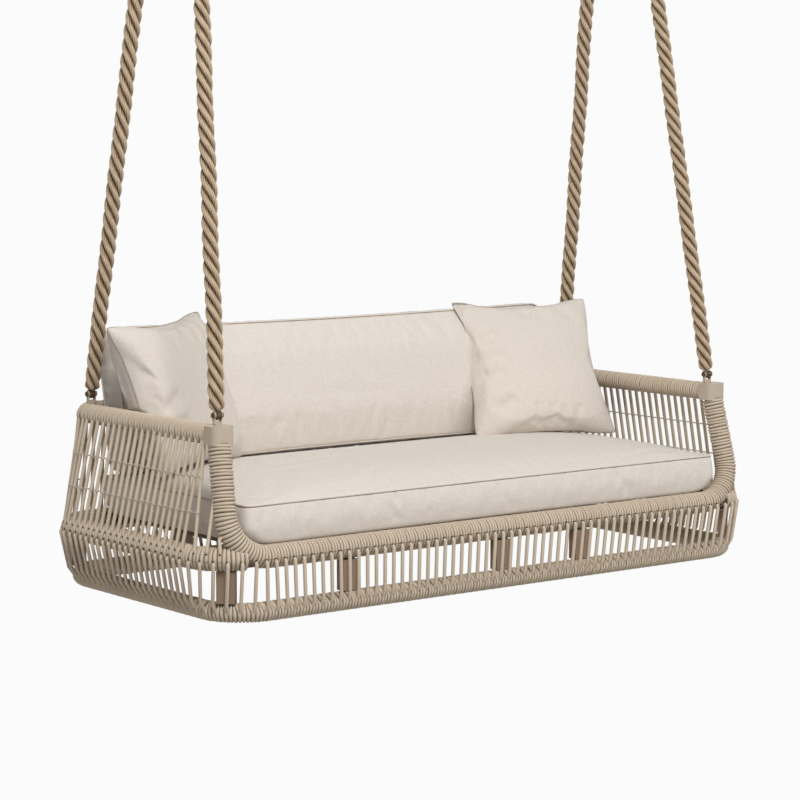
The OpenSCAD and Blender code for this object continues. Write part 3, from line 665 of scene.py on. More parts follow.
front_span = (ring_half[0] - ring_bend) / cord_step
side_first = per_quarter - (ring_half[1] - ring_bend) / cord_step
panel_cord = cord_material("panel cord", (0.635, 0.545, 0.435), (0.53, 0.445, 0.345))
cord_numbers = [half + 0.5 for half in range(-2 * per_quarter, 2 * per_quarter)]
skirts = {name: [] for name in ("front", "back", "left", "right", "corners")}
for number in cord_numbers:
    along = abs(number)
    if along < front_span:
        skirts["front"].append(number)
    elif along > 2 * per_quarter - front_span:
        skirts["back"].append(number)
    elif side_first < along < 2 * per_quarter - side_first:
        skirts["right" if number > 0 else "left"].append(number)
    else:
        skirts["corners"].append(number)
for side, numbers in skirts.items():
    node = "skirt_cords_" + side
    cords = sweep_cord(node + "_run", [skirt_route(number) for number in numbers], cord_r,
                       blunt=(0.6, 0.88, 1.0))
    wear(cords, panel_cord)
    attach(cords, "seat")
    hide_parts(node)

# ---------------------------------------------------------------- Slits and thread
# The gap in the windings where each cord goes in or comes out is drawn as a short near-black blob, painted
# shade for the dark down in the gap. A thin waxed thread runs along under the turns from slit to slit.
slit_angle = math.radians(-4.5)
panel_slit_angle = math.radians(32.0)
slit_depth = 0.0014
slit_proud = 0.0006


def speckled(name, dark, light, roughness, size):
    material, tree, shader = new_material(name, {"Roughness": roughness})
    grain = noise(tree, add_node(tree, "TexCoord").outputs["Object"], 1.0 / size, 3.0)
    set_inputs(tree, shader, {"Base Color": ramp(tree, grain, [(0.38, dark), (0.62, light)])})
    return material


# Near-black colour for the slit blobs: painted shade, standing in for the shade down in each gap.
painted_slit_shade = speckled("slit", (0.016, 0.009, 0.005), (0.034, 0.020, 0.011), 0.95, 0.004)


def make_slit(place, turn, tilt, long, high):
    bpy.ops.mesh.primitive_uv_sphere_add(segments=8, ring_count=5, radius=1.0)
    slit = bpy.context.object
    slit.matrix_world = (Matrix.Translation(place) @ Matrix.Rotation(turn, 4, "Z")
                         @ Matrix.Rotation(-tilt, 4, "Y") @ Matrix.Diagonal((slit_depth, long, high, 1.0)))
    return slit


def make_slits(name, places):
    deselect()
    piece = join([make_slit(*place) for place in places])
    bpy.ops.object.shade_smooth()
    piece.name = name
    wear(piece, painted_slit_shade)
    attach(piece, "seat")


def ring_slit(run, angle, long, high):
    place = on_ring(run, ring_half, ring_bend)
    if angle < 0:
        angle += 0.12 * abs(math.cos(place[2]))
    return off_ring(place, ring_wrap + slit_proud, angle, seat_level), place[2], angle, long, high


make_slits("skirt_slits", [ring_slit(number * cord_step, slit_angle, 0.0046, 0.0021)
                           for number in cord_numbers])

thread_dark = speckled("waxed thread", (0.15, 0.105, 0.065), (0.25, 0.185, 0.125), 0.7, 0.006)
thread_route = [off_ring(on_ring(n / 2 * cord_step, ring_half, ring_bend), ring_wrap - 0.0002, slit_angle,
                         seat_level) for n in range(-4 * per_quarter, 4 * per_quarter + 1)]
skirt_thread = sweep_cord("skirt_thread", [thread_route], 0.0005)
wear(skirt_thread, thread_dark)
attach(skirt_thread, "seat")

# ---------------------------------------------------------------- Panel cords
# The arm and back panels: straight cords from the outer face of the arm rail to the upper face of the
# seat ring, where they go in among the windings. Two short ones beside each post run up into it, and
# two rows of thin thread are woven through each arm's cords.
foot_angle = math.radians(52.0)
weft_heights = (0.212, 0.122)


def panel_route(head, run):
    """From the head's places down to the foot at a distance round the seat ring"""
    foot = on_ring(run, ring_half, ring_bend)
    return [(x, y + hang_shift, z + seat_level) for x, y, z in head] + [
        off_ring(foot, r, foot_angle - step, seat_level)
        for step, r in ((0.0, ring_wrap + 0.0046), (0.09, 0.0350), (0.18, 0.0318), (0.27, 0.0280))]


def rail_head(u):
    x, y, g = on_arm(u)
    return [(x + out * math.cos(g), y + out * math.sin(g), arm_rise + up)
            for out, up in ((0.014, 0.002), (0.0215, -0.006), (0.0250, -0.016))]


def post_head(u):
    """Where a short cord beside the post runs up into it"""
    level = (u + ring_half[1]) / math.tan(frame_tilt)
    side = front_bend_x + front_bend - max(0.0, level - front_bend) * math.tan(post_lean)
    return [(side, u, level), (side + 0.024, u, level - 0.020)]


def both_sides(heads, feet):
    right = [panel_route(head, run) for head, run in zip(heads, feet)]
    return right, [[(-p[0], p[1], p[2]) for p in route] for route in right]


post_right, post_left = both_sides([post_head(u) for u in post_tops[1:]], post_feet[1:])
arm_right, arm_left = both_sides([rail_head(max(u, arm_end + 0.002)) for u in [post_tops[0]] + arm_tops],
                                 [post_feet[0]] + arm_feet)
corner_right, corner_left = both_sides([rail_head(u) for u in corner_tops], corner_feet)
back_heads = [[(number * back_step, p[1], p[2]) for p in rail_head(arm_back + arm_half)]
              for number in back_numbers]
back_panel = [panel_route(head, run) for head, run in zip(back_heads, back_feet)]
for name, node, routes in (
        ("arm_cords_left_run", "arm_cords_left", post_left + arm_left),
        ("arm_cords_right_run", "arm_cords_right", post_right + arm_right),
        ("back_cords_run", "back_cords", back_panel),
        ("back_corner_cords_run", "back_cords_corners", corner_left + corner_right)):
    cords = sweep_cord(name, routes, cord_r)
    wear(cords, panel_cord)
    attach(cords, "seat")
    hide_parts(node)

make_slits("panel_slits", [ring_slit(run, panel_slit_angle, 0.0034, 0.0026) for run in all_feet])


def cord_at(route, height):
    """The place of a cord's axis at a height over the seat ring"""
    level = seat_level + height
    for a, b in zip(route, route[1:]):
        if min(a[2], b[2]) <= level <= max(a[2], b[2]) and a[2] != b[2]:
            return np.array(a) + (np.array(b) - np.array(a)) * (level - a[2]) / (b[2] - a[2])


def twine(routes, height, side):
    """One thread of a row: over each cord on one side, through between it and the next"""
    places = [cord_at(route, height) for route in routes]
    line = []
    for number, place in enumerate(places):
        ahead = places[min(number + 1, len(places) - 1)] - places[max(number - 1, 0)]
        out = np.array([ahead[1], -ahead[0], 0.0]) / math.hypot(ahead[0], ahead[1])
        half = ahead / (2.0 if 0 < number < len(places) - 1 else 1.0)
        line += [place - half * 0.24 + out * side * 0.0042, place + out * side * 0.0056,
                 place + half * 0.24 + out * side * 0.0042]
    return [tuple(p) for p in line]


thread_light = speckled("light thread", (0.54, 0.47, 0.375), (0.68, 0.61, 0.51), 0.6, 0.006)
rows = []
shaded_knots = []
for routes in (arm_left + corner_left, arm_right + corner_right):
    for height in weft_heights:
        for side in (1.0, -1.0):
            rows.append(twine(routes, height, side))
        places = [cord_at(route, height) for route in routes]
        for a, b in zip(places, places[1:]):
            middle = (a + b) / 2
            turn = math.atan2(-(b - a)[0], (b - a)[1])
            shaded_knots.append((tuple(middle), turn, 0.0, 0.0030, 0.0018))
weft = sweep_cord("weft_threads", rows, 0.0010)
wear(weft, thread_light)
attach(weft, "seat")
# The knots between the cords wear the slits' near-black colour: painted shade where each row passes between two
# cords.
make_slits("weft_knots_painted_shade", shaded_knots)

# ---------------------------------------------------------------- Seat cushion
# One long foam slab in a boxed linen cover: a top panel and a side band, sewn together over a thin
# piping. It lies loose on the deck, between the ring's front rail and the back cushion.
cushion_top = 0.1363
seat_size = (1.716, 0.742, 0.104)
seat_middle = -0.028
seat_crown = 0.044
seat_foot_r = 0.085
seat_top_r = 0.022
band_swell = 0.006


def linen_group():
    group, given, leave = new_group("linen weave", (
        ("Vector", "INPUT", "Vector"), ("Slub", "OUTPUT", "Float"), ("Normal", "OUTPUT", "Vector")))
    threads = [noise(group, stretched(group, given["Vector"], scale), 1.0, 1.5)
               for scale in ((1050.0, 90.0, 90.0), (90.0, 1050.0, 90.0), (90.0, 90.0, 1050.0))]
    slub = threads[0]
    for thread in threads[1:]:
        slub = add_node(group, "Math", {0: slub, 1: thread}, operation="MAXIMUM").outputs[0]
    weave = raise_surface(group, slub, 0.22, 0.0007)
    rumple = add_node(group, "TexNoise", {"Vector": given["Vector"], "Scale": 17.0, "Detail": 2.0,
                                          "Distortion": 0.6})
    soft = raise_surface(group, rumple.outputs["Fac"], 0.35, 0.006)
    set_inputs(group, soft, {"Normal": weave.outputs["Normal"]})
    set_inputs(group, leave, {"Slub": slub, "Normal": soft.outputs["Normal"]})
    return group


linen_weave = linen_group()


def linen_material(name, light, dark):
    material, tree, shader = new_material(name, {
        "Roughness": 0.85, "Specular IOR Level": 0.2, "Sheen Weight": 0.12, "Sheen Roughness": 0.5})
    place = add_node(tree, "TexCoord").outputs["Object"]
    weave = add_node(tree, "Group", {"Vector": place}, node_tree=linen_weave)
    tone = ramp(tree, weave.outputs["Slub"], [(0.42, dark), (0.68, light)])
    set_inputs(tree, shader, {"Base Color": tone, "Normal": weave.outputs["Normal"]})
    return material


linen = linen_material("linen", (0.735, 0.693, 0.648), (0.640, 0.592, 0.543))
# Dark-brown colour for the pillows' seams and for the thin lines under the cushions' pipings, which are painted
# shadow.
seam_thread_and_shadow_line = speckled("seam thread and shadow line", (0.270, 0.195, 0.125), (0.410, 0.315, 0.225), 0.9, 0.005)


def boxed_blank(size, cell, rows):
    """A slab of even cells: a grid whose edge is drawn down as the side band, closed by a second grid"""
    w, d, t = size
    cells = (round(w / cell), round(d / cell))
    deselect()
    bpy.ops.mesh.primitive_grid_add(x_subdivisions=cells[0], y_subdivisions=cells[1], size=1.0)
    slab = bpy.context.object
    bpy.ops.object.mode_set(mode="EDIT")
    bpy.ops.mesh.select_mode(type="EDGE")
    bpy.ops.mesh.select_all(action="SELECT")
    bpy.ops.transform.resize(value=(w, d, 1.0))
    bpy.ops.transform.translate(value=(0.0, 0.0, t))
    bpy.ops.mesh.select_all(action="DESELECT")
    bpy.ops.mesh.select_non_manifold()
    for row in range(rows):
        bpy.ops.mesh.extrude_edges_move(TRANSFORM_OT_translate={"value": (0.0, 0.0, -t / rows)})
    bpy.ops.mesh.select_all(action="DESELECT")
    bpy.ops.mesh.primitive_grid_add(x_subdivisions=cells[0], y_subdivisions=cells[1], size=1.0)
    bpy.ops.transform.resize(value=(w, d, 1.0))
    bpy.ops.mesh.select_mode(type="VERT")
    bpy.ops.object.mode_set(mode="OBJECT")
    face_outwards(slab)
    return slab


def crown(u, v):
    return np.clip(1 - abs(u) ** 6.0, 0, 1) * np.clip(1 - abs(v) ** 3.0, 0, 1)


def box_cushion(points, size, low, high, foot_r, top_r, pull, share=1.0):
    """Rounds the slab's corners, draws its sides in, swells its band and crowns its two panels"""
    w, d, t = size[0] - 2 * band_swell, size[1] - 2 * band_swell, size[2]
    u, v, s = 2 * points[:, 0] / size[0], 2 * points[:, 1] / size[1], points[:, 2] / t
    rim = np.maximum(np.maximum(abs(u), abs(v)), 1e-6)
    corner = foot_r + (top_r - foot_r) * np.minimum(1.0, s / share)
    edge_u, edge_v = u / rim, v / rim
    x, y = abs(edge_u) * w / 2, abs(edge_v) * d / 2
    over_x, over_y = x - w / 2 + corner, y - d / 2 + corner
    turned = (over_x > 0) & (over_y > 0)
    reach = np.maximum(np.hypot(over_x, over_y), 1e-6)
    x = np.where(turned, w / 2 - corner + over_x * corner / reach, x)
    y = np.where(turned, d / 2 - corner + over_y * corner / reach, y)
    swell = band_swell * np.sin(np.pi * s)
    x = x - (pull * np.cos(np.pi / 2 * edge_v) - swell) * (abs(edge_u) > abs(edge_v) * 0.999)
    y = y - (pull * np.cos(np.pi / 2 * edge_u) - swell) * (abs(edge_v) > abs(edge_u) * 0.999)
    mix = rim ** 4
    shaped = np.empty_like(points)
    shaped[:, 0] = u * w / 2 + (np.sign(u) * x * rim - u * w / 2) * mix
    shaped[:, 1] = v * d / 2 + (np.sign(v) * y * rim - v * d / 2) * mix
    dome = crown(u, v)
    shaped[:, 2] = points[:, 2] + np.where(s > 0.999, high * dome, np.where(s < 0.001, -low * dome, 0.0))
    return shaped


def fill_cover(piece, held, pressure, cap, slack):
    """Blows the cover up against its seams with Cloth and keeps each point within cap of its start"""
    start, frames = read_points(piece), 20
    group = piece.vertex_groups.new(name="held")
    group.add([int(i) for i in np.flatnonzero(held)], 1.0, "REPLACE")
    cloth = piece.modifiers.new("cloth", "CLOTH")
    settings = cloth.settings
    settings.quality = 4
    settings.mass = 0.3
    settings.tension_stiffness = settings.compression_stiffness = 15.0
    settings.shear_stiffness = 8.0
    settings.bending_stiffness = 0.6
    settings.vertex_group_mass = "held"
    settings.use_pressure = True
    settings.uniform_pressure_force = pressure
    settings.shrink_min = -slack
    settings.effector_weights.gravity = 0.0
    cloth.point_cache.frame_start = 1
    cloth.point_cache.frame_end = frames
    for frame_number in range(1, frames + 1):
        bpy.context.scene.frame_set(frame_number)
    apply_modifier(piece, cloth)
    bpy.context.scene.frame_set(1)
    moved = read_points(piece) - start
    length = np.maximum(np.linalg.norm(moved, axis=1), 1e-9)
    write_points(piece, start + moved * np.minimum(1.0, cap / length)[:, None])


def subdivide_once(piece):
    finer = piece.modifiers.new("finer", "SUBSURF")
    finer.levels = finer.render_levels = 1
    apply_modifier(piece, finer)


def fold(points, side, start, end, width, depth, flat=(0, 1), out=2, lip=0.55):
    """Presses a soft crease with one raised lip between two places of a panel"""
    a, b = np.array(start), np.array(end)
    run = b - a
    length = np.linalg.norm(run)
    place = points[:, flat] - a
    along = place @ run / length ** 2
    across = (place[:, 0] * -run[1] + place[:, 1] * run[0]) / length
    fade = slope(np.minimum(along, 1.0 - along), -0.15, 0.20)
    fade = fade * fade * (3 - 2 * fade)
    press = -np.exp(-(across / width) ** 2) + lip * np.exp(-((across - 1.7 * width) / (1.3 * width)) ** 2)
    points[:, out] += side * depth * fade * press


def closed_loop(points, half):
    """The seam's points, in order round the cushion"""
    order = np.argsort(np.arctan2(points[:, 1] / half[1], points[:, 0] / half[0]))
    return points[order]


def finish_padding(piece, name, node, material, body):
    piece.name = name
    active(piece)
    bpy.ops.object.shade_smooth()
    wear(piece, material)
    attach(piece, body)
    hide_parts(node)


def add_piping(name, loop, radius, proud, body, material):
    """A cord along a seam, standing half out of it; the same sweep makes the pipings, the pillows' seams and
    the thin dark lines of painted shadow under the pipings
    """
    away = loop - loop.mean(axis=0)
    away /= np.linalg.norm(away, axis=1)[:, None]
    piece = sweep_cord(name, [list(map(tuple, loop + away * proud))], radius, closed=True)
    wear(piece, material)
    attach(piece, body)


def clear_of_frame(points):
    """Presses the cushion in where it meets the windings of the front rail, its bends and the posts"""
    keep_off, inner = ring_wrap + 0.002, 0.70
    sides = [p for p in ring_route(ring_half, ring_bend, seat_level) if p[1] > -0.30]
    line = np.array(front_rail_route() + post_route(-1) + post_route(1) + sides)
    near = np.abs(points[:, 0]) > inner
    for centre in line[np.abs(line[:, 0]) > inner]:
        away = points[near] - centre
        gap = np.maximum(np.linalg.norm(away, axis=1), 1e-9)
        points[near] += away / gap[:, None] * np.maximum(0.0, keep_off - gap)[:, None]
    return points


slab = boxed_blank(seat_size, 0.0125, 8)
blank = read_points(slab)
points = box_cushion(blank, seat_size, 0.0, seat_crown, seat_foot_r, seat_top_r, 0.005, share=0.3)
flat_rim = np.maximum(abs(2 * blank[:, 0] / seat_size[0]), abs(2 * blank[:, 1] / seat_size[1])) > 0.999
on_top, on_floor = blank[:, 2] > seat_size[2] - 0.0005, blank[:, 2] < 0.0005
seam_loop = closed_loop(points[flat_rim & on_top], seat_size)
write_points(slab, points)
fill_cover(slab, on_floor | (flat_rim & on_top), 3.0, 0.006, 0.012)
subdivide_once(slab)
points = read_points(slab)
top = (points[:, 2] > seat_size[2] + 0.002).astype(float)
for start, end, width, depth in (
        ((-0.42, -0.30), (-0.30, -0.20), 0.012, 0.0022), ((-0.17, -0.33), (-0.10, -0.24), 0.010, 0.0020),
        ((-0.62, -0.12), (-0.36, -0.08), 0.022, 0.0018), ((-0.55, -0.02), (-0.20, 0.02), 0.026, 0.0018),
        ((0.30, -0.30), (0.36, -0.18), 0.012, 0.0020), ((0.05, -0.08), (0.32, -0.12), 0.024, 0.0016),
        ((0.50, -0.32), (0.70, -0.29), 0.014, 0.0020), ((-0.74, -0.33), (-0.66, -0.20), 0.014, 0.0024),
        ((0.72, -0.33), (0.66, -0.20), 0.014, 0.0020)):
    fold(points, top, start, end, width, depth)
front = ((points[:, 1] < -seat_size[1] / 2 + 0.02) & (points[:, 2] < seat_size[2] - 0.004)).astype(float)
for start, end, width, depth in (
        ((-0.385, 0.070), (-0.355, 0.022), 0.009, 0.0042), ((-0.36, 0.094), (-0.34, 0.070), 0.008, 0.0022),
        ((0.02, 0.06), (0.06, 0.02), 0.012, 0.0020), ((0.46, 0.085), (0.50, 0.03), 0.012, 0.0024)):
    fold(points, -front, start, end, width, depth, flat=(0, 2), out=1)
front_sag = 0.0042
points[:, 2] -= front_sag * slope(points[:, 1], -0.330, -0.360) * slope(points[:, 2], 0.030, 0.0)
lift = np.array([0.0, seat_middle + hang_shift, cushion_top - seat_size[2] + seat_level])
write_points(slab, clear_of_frame(points + lift))
finish_padding(slab, "seat_cushion_cover", "seat_cushion", linen, "seat")
add_piping("seat_piping", seam_loop + lift, 0.0026, 0.0006, "seat", linen)
# A thin dark-brown tube just under the piping is painted shadow: the shade line beneath the welt.
add_piping("seat_shadow_line", seam_loop + lift - [0.0, 0.0, 0.0030], 0.0011, 0.0002, "seat", seam_thread_and_shadow_line)

# ---------------------------------------------------------------- Back cushion
# A lower, softer boxed cushion of the same linen, piped along both panels' edges. It stands on the
# seat cushion and leans against the back panel, a little to the left of the middle.
back_size = (1.600, 0.398, 0.096)
back_lean = math.radians(11.0)
back_foot = 0.26335
back_shift = 0.046
back_low_edge = 0.032
back_crown = 0.034
back_corner = 0.040
seat_gap = 0.0008


def seat_top(x, y):
    return cushion_top + seat_crown * crown(np.clip(2 * x / seat_size[0], -1, 1),
                                            np.clip(2 * (y - seat_middle) / seat_size[1], -1, 1))


def from_back(p):
    """From the back cushion's own axes (across, up its slope, out of its front) to the seat's"""
    c, s = math.cos(back_lean), math.sin(back_lean)
    return np.stack([p[:, 0] - back_shift, back_foot + p[:, 1] * s - p[:, 2] * c,
                     cushion_top + p[:, 1] * c + p[:, 2] * s], axis=1)


def to_back(p):
    c, s = math.cos(back_lean), math.sin(back_lean)
    y, z = p[:, 1] - back_foot, p[:, 2] - cushion_top
    return np.stack([p[:, 0] + back_shift, y * s + z * c, -y * c + z * s], axis=1)


def rest_on_seat(points):
    points[:, 2] = np.maximum(points[:, 2], seat_top(points[:, 0], points[:, 1]) + seat_gap)
    return points


def hang(points):
    return points + np.array([0.0, hang_shift, seat_level])


def stand_back(points):
    raised = points + np.array([0.0, back_low_edge + back_size[1] / 2, -back_size[2] / 2])
    stood = from_back(raised)
    edge = from_back(raised * [1.0, 0.0, 1.0] + [0.0, back_low_edge, 0.0])
    gap = np.maximum(0.0, edge[:, 2] - seat_top(edge[:, 0], edge[:, 1]) - 0.0015)
    low = slope(raised[:, 1], back_low_edge + 0.150, back_low_edge)
    stood[:, 2] -= gap * low * low
    return hang(rest_on_seat(stood))


slab = boxed_blank(back_size, 0.0105, 8)
blank = read_points(slab)
points = box_cushion(blank, back_size, 0.008, back_crown, back_corner, back_corner, 0.008)
flat_rim = np.maximum(abs(2 * blank[:, 0] / back_size[0]), abs(2 * blank[:, 1] / back_size[1])) > 0.999
on_front, on_rear = blank[:, 2] > back_size[2] - 0.0005, blank[:, 2] < 0.0005
front_loop = closed_loop(points[flat_rim & on_front], back_size)
rear_loop = closed_loop(points[flat_rim & on_rear], back_size)
write_points(slab, points)
fill_cover(slab, flat_rim & (on_front | on_rear), 3.5, 0.007, 0.015)
subdivide_once(slab)
points = read_points(slab)
face = (points[:, 2] > back_size[2] + 0.001).astype(float)
for start, end, width, depth in (
        ((-0.30, 0.150), (-0.275, 0.045), 0.009, 0.0030), ((-0.235, 0.150), (-0.20, 0.080), 0.009, 0.0026),
        ((-0.17, 0.188), (-0.115, 0.105), 0.010, 0.0030), ((-0.39, 0.070), (-0.38, -0.010), 0.009, 0.0022),
        ((-0.335, 0.095), (-0.31, 0.010), 0.010, 0.0022), ((-0.04, 0.155), (-0.02, 0.09), 0.010, 0.0022),
        ((0.03, 0.165), (0.055, 0.105), 0.010, 0.0022), ((0.20, 0.185), (0.27, 0.10), 0.012, 0.0034),
        ((0.26, 0.188), (0.33, 0.085), 0.012, 0.0034), ((0.33, 0.19), (0.40, 0.09), 0.014, 0.0030),
        ((-0.10, -0.03), (0.14, -0.055), 0.016, 0.0016), ((-0.45, -0.12), (-0.15, -0.105), 0.018, 0.0016),
        ((-0.60, 0.185), (-0.56, 0.11), 0.011, 0.0026), ((0.55, 0.185), (0.50, 0.10), 0.011, 0.0026),
        ((0.70, -0.05), (0.62, 0.0), 0.012, 0.0022), ((0.10, -0.185), (0.12, -0.13), 0.010, 0.0020),
        ((-0.22, -0.188), (-0.24, -0.14), 0.010, 0.0020), ((0.40, -0.185), (0.38, -0.135), 0.010, 0.0020)):
    fold(points, face, start, end, width, depth)
write_points(slab, stand_back(points))
finish_padding(slab, "back_cushion_cover", "back_cushion", linen, "seat")
for name, loop in (("back_piping_front", front_loop), ("back_piping_rear", rear_loop)):
    add_piping(name, stand_back(loop), 0.0027, 0.0008, "seat", linen)
# A thin dark-brown tube just inside the front piping is painted shadow: the shade line under the welt.
inner = front_loop * [0.9985, 0.994, 1.0] + [0.0, 0.0, 0.0022]
add_piping("back_shadow_line", stand_back(inner), 0.0007, 0.0002, "seat", seam_thread_and_shadow_line)

# ---------------------------------------------------------------- Pillows
# Two square feather pillows in washed linen, each of two faces sewn edge to edge. They lean on the
# back cushion and sink a little where they rest, and the covers crumple along their seams.
pillow_side = 0.452
half_edge = 0.003
arm_reach = arm_half - arm_wrap - 0.004
rail_top = arm_rise + arm_wrap
pillow_gap = 0.0024


def press_back(points):
    own = to_back(points)
    u, v = 2 * own[:, 0] / back_size[0], (own[:, 1] - back_low_edge - back_size[1] / 2) * 2 / back_size[1]
    surface = back_size[2] / 2 + back_crown * crown(np.clip(u, -1, 1), np.clip(v, -1, 1))
    own[:, 2] = np.maximum(own[:, 2], surface + pillow_gap)
    return from_back(own)


def stand_pillow(points, place, turn, lean, tip):
    """Turns the pillow into place, pressed against the back, kept off the arm and resting on the seat"""
    turn, lean, tip = map(math.radians, (turn, lean, tip))
    x = points[:, 0] * math.cos(tip) - points[:, 1] * math.sin(tip)
    y = points[:, 0] * math.sin(tip) + points[:, 1] * math.cos(tip)
    up = y * math.cos(lean) + points[:, 2] * math.sin(lean)
    away = y * math.sin(lean) - points[:, 2] * math.cos(lean)
    stood = np.stack([place[0] + x * math.cos(turn) - away * math.sin(turn),
                      place[1] + x * math.sin(turn) + away * math.cos(turn), place[2] + up], axis=1)
    stood = press_back(stood)
    over = slope(stood[:, 2], rail_top - 0.014, rail_top + 0.061)
    reach = arm_reach + 0.130 * over * over * (3 - 2 * over)
    far = abs(stood[:, 0])
    near = 0.5 * (far + reach - np.sqrt((far - reach) ** 2 + 0.006 ** 2))
    stood[:, 0] = np.sign(stood[:, 0]) * np.minimum(near, reach)
    return hang(rest_on_seat(stood))


def make_pillow(node, stance, stretch, drawn, folds):
    """One filled cover, its corners drawn out across and up, creased and stood in place"""
    pillow = boxed_blank((pillow_side, pillow_side, 2 * half_edge), 0.0066, 1)
    blank = read_points(pillow)
    u, v = 2 * blank[:, 0] / pillow_side, 2 * blank[:, 1] / pillow_side
    dome = np.clip((1 - abs(u) ** 2.4) * (1 - abs(v) ** 2.4), 0, 1) ** 0.55
    side = np.where(blank[:, 2] > half_edge, 1.0, -1.0)
    points = blank.copy()
    points[:, 2] = side * (half_edge + 0.066 * dome)
    edge = np.maximum(abs(u), abs(v)) ** 3
    points[:, 0] *= 1 - 0.052 * np.cos(np.pi / 2 * v) * edge * abs(u)
    points[:, 1] *= 1 - 0.052 * np.cos(np.pi / 2 * u) * edge * abs(v)
    points[:, :2] *= (stretch * (1 - 0.060 * (abs(u) * abs(v)) ** 5))[:, None]
    for corner_u, corner_v, across, up in drawn:
        share = (np.clip(corner_u * u, 0, 1) * np.clip(corner_v * v, 0, 1)) ** 2
        points[:, 0] += across * share
        points[:, 1] += up * share
    seam = np.maximum(abs(u), abs(v)) > 0.999
    write_points(pillow, points)
    fill_cover(pillow, np.zeros(len(points), dtype=bool), 3.0, 0.014, 0.03)
    points = read_points(pillow)
    edge = seam & (side > 0)
    order = np.argsort(np.arctan2(blank[edge][:, 1], blank[edge][:, 0]))
    loop = points[edge][order] * [1.0, 1.0, 0.0]
    subdivide_once(pillow)
    points = read_points(pillow)
    face = (points[:, 2] > 0.004).astype(float) * np.clip(points[:, 2] / 0.03, 0.0, 1.0)
    for start, end, width, depth in folds:
        fold(points, face, start, end, width, depth)
    write_points(pillow, stand_pillow(points, *stance))
    finish_padding(pillow, node + "_cover", node, washed_linen, node)
    add_piping(node + "_cover_seam", stand_pillow(loop, *stance), 0.0009, 0.0009, node, seam_thread_and_shadow_line)


washed_linen = linen_material("washed linen", (0.725, 0.678, 0.628), (0.622, 0.568, 0.512))
pillow_back = arm_back - 0.210
left_place = (0.199 - arm_half, pillow_back, cushion_top + 0.53 * pillow_side)
right_place = (arm_half - 0.290, pillow_back, cushion_top + 0.514 * pillow_side)
make_pillow("pillow_left", (left_place, 23.0, 18.0, 1.7), 1.0,
            ((-1, 1, -0.028, 0.008), (1, 1, -0.012, 0.008), (1, -1, 0.006, -0.002)),
            (((-0.17, -0.045), (-0.10, -0.005), 0.019, 0.0075),
             ((-0.16, -0.095), (-0.09, -0.085), 0.019, 0.0075),
             ((-0.08, 0.19), (-0.03, 0.13), 0.017, 0.0056), ((0.00, 0.205), (0.04, 0.14), 0.017, 0.0062),
             ((0.06, 0.205), (0.09, 0.13), 0.017, 0.0062), ((0.12, 0.205), (0.13, 0.12), 0.017, 0.0056)))
make_pillow("pillow_right", (right_place, -16.8, 28.6, 0.4), 1.045,
            ((-1, 1, -0.034, 0.008), (1, 1, 0.008, 0.010), (1, -1, 0.018, -0.003), (-1, -1, -0.004, -0.002)),
            (((-0.19, 0.075), (-0.12, 0.095), 0.020, 0.0075), ((-0.185, 0.0), (-0.11, 0.03), 0.020, 0.0087),
             ((-0.19, -0.045), (-0.12, -0.03), 0.019, 0.0075), ((-0.16, -0.15), (-0.10, -0.12), 0.019, 0.0075),
             ((-0.02, -0.205), (-0.03, -0.14), 0.015, 0.0062), ((0.02, -0.205), (0.015, -0.145), 0.015, 0.0062),
             ((0.06, -0.205), (0.055, -0.15), 0.015, 0.0062), ((0.10, -0.205), (0.105, -0.15), 0.015, 0.0056),
             ((0.0, 0.20), (0.06, 0.14), 0.019, 0.0062), ((-0.05, 0.20), (0.0, 0.15), 0.017, 0.0056),
             ((0.10, 0.19), (0.16, 0.13), 0.020, 0.0056)))

# ---------------------------------------------------------------- Frame, deck and fittings
# What shows between the cords and under the ropes: powder-coated tubes, the brown uprights, the
# hardwood deck, the two moulded corner blocks, and the painted forks with their pins and eyes.


def coat_material(name, light, dark, roughness, grain, stretch=(1.0, 1.0, 1.0), depth=0.0004):
    material, tree, shader = new_material(name, {"Roughness": roughness, "Specular IOR Level": 0.35})
    place = add_node(tree, "TexCoord").outputs["Object"]
    speck = noise(tree, stretched(tree, place, stretch), grain, 3.0)
    bump = raise_surface(tree, speck, 0.25, depth)
    set_inputs(tree, shader, {"Base Color": ramp(tree, speck, [(0.35, dark), (0.65, light)]),
                              "Normal": bump.outputs["Normal"]})
    return material


finishes = {
    "frame_metal": coat_material("brown coat", (0.200, 0.140, 0.100), (0.165, 0.112, 0.078), 0.55, 420.0),
    "brown_tube": coat_material("upright coat", (0.315, 0.225, 0.165), (0.260, 0.180, 0.130), 0.50, 420.0),
    "deck_wood": coat_material("deck wood", (0.230, 0.150, 0.085), (0.115, 0.070, 0.038), 0.60, 9.0,
                               (1.0, 14.0, 14.0), 0.0010),
    "painted_hardware": coat_material("sand coat", (0.520, 0.445, 0.355), (0.480, 0.408, 0.322), 0.48, 520.0),
    "eye_metal": coat_material("dark iron", (0.110, 0.070, 0.042), (0.060, 0.036, 0.020), 0.45, 260.0),
}
dark_pieces = ("front_clevis_pins", "back_clevis_pins", "hanger_pins")
for piece in frame["record"]["subparts"]:
    name, coat = piece["node"], piece["material_slot"]
    if coat in finishes:
        wear(frame["nodes"][name], finishes["eye_metal" if name in dark_pieces else coat])

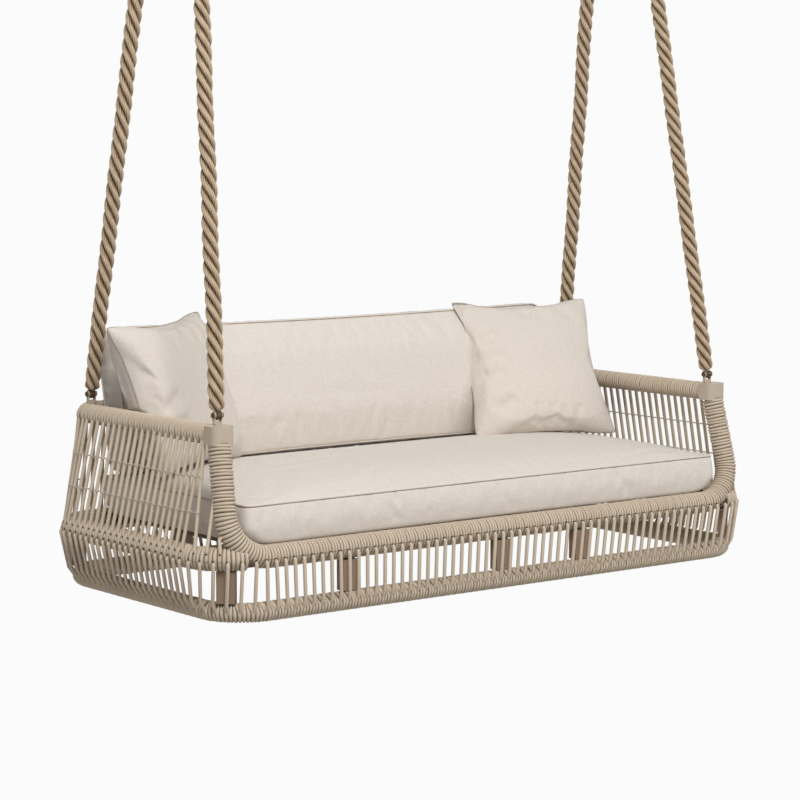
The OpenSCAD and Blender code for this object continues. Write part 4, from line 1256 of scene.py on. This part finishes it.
# ---------------------------------------------------------------- Studio
# A plain pale floor under the hanging seat and a white surround. A large key lamp stands high at the
# front left and a weak one low at the front right.
white_card = (0.965, 0.965, 0.968, 1.0)
white, tree, shader = new_material("studio white", {"Base Color": (0.50, 0.49, 0.48, 1.0), "Roughness": 0.9})
deselect()
bpy.ops.mesh.primitive_plane_add(size=30.0, location=(0.0, 2.0, -2.35))
floor = bpy.context.object
floor.name = "studio_floor"
wear(floor, white)
glow = add_node(tree, "Emission", {"Color": white_card})
seen = add_node(tree, "LightPath").outputs["Is Camera Ray"]
shown = add_node(tree, "MixShader", {"Fac": seen, 1: shader.outputs["BSDF"], 2: glow.outputs["Emission"]})
set_inputs(tree, tree.nodes["Material Output"], {"Surface": shown.outputs["Shader"]})

world = bpy.data.worlds.new("studio")
world.use_nodes = True
bpy.context.scene.world = world
tree = world.node_tree
tree.nodes.clear()
rays = add_node(tree, "LightPath").outputs
seen = add_node(tree, "Math", {0: rays["Is Camera Ray"], 1: rays["Is Glossy Ray"]}, operation="MAXIMUM")
clear = add_node(tree, "Math", {0: seen.outputs[0], 1: rays["Is Transmission Ray"]}, operation="MAXIMUM")
ambient = add_node(tree, "Background", {"Color": (1.0, 0.975, 0.945, 1.0), "Strength": 0.39})
backdrop = add_node(tree, "Background", {"Color": white_card, "Strength": 1.0})
sky = add_node(tree, "MixShader", {"Fac": clear.outputs[0], 1: ambient.outputs["Background"],
                                   2: backdrop.outputs["Background"]})
add_node(tree, "OutputWorld", {"Surface": sky.outputs["Shader"]})


def add_lamp(name, place, size, power, colour):
    lamp_data = bpy.data.lights.new(name, "AREA")
    lamp_data.shape = "DISK"
    lamp_data.size = size
    lamp_data.energy = power
    lamp_data.color = colour
    lamp = bpy.data.objects.new(name, lamp_data)
    lamp.location = place
    lamp.rotation_euler = (Vector((0.0, 0.0, -1.35)) - Vector(place)).to_track_quat("-Z", "Y").to_euler()
    bpy.context.scene.collection.objects.link(lamp)


add_lamp("key", (-2.5, -3.9, 3.7), 2.2, 305.0, (1.0, 0.98, 0.955))
add_lamp("fill", (3.0, -4.8, -0.4), 3.0, 62.0, (1.0, 0.975, 0.95))
bpy.context.scene.view_settings.view_transform = "Standard"
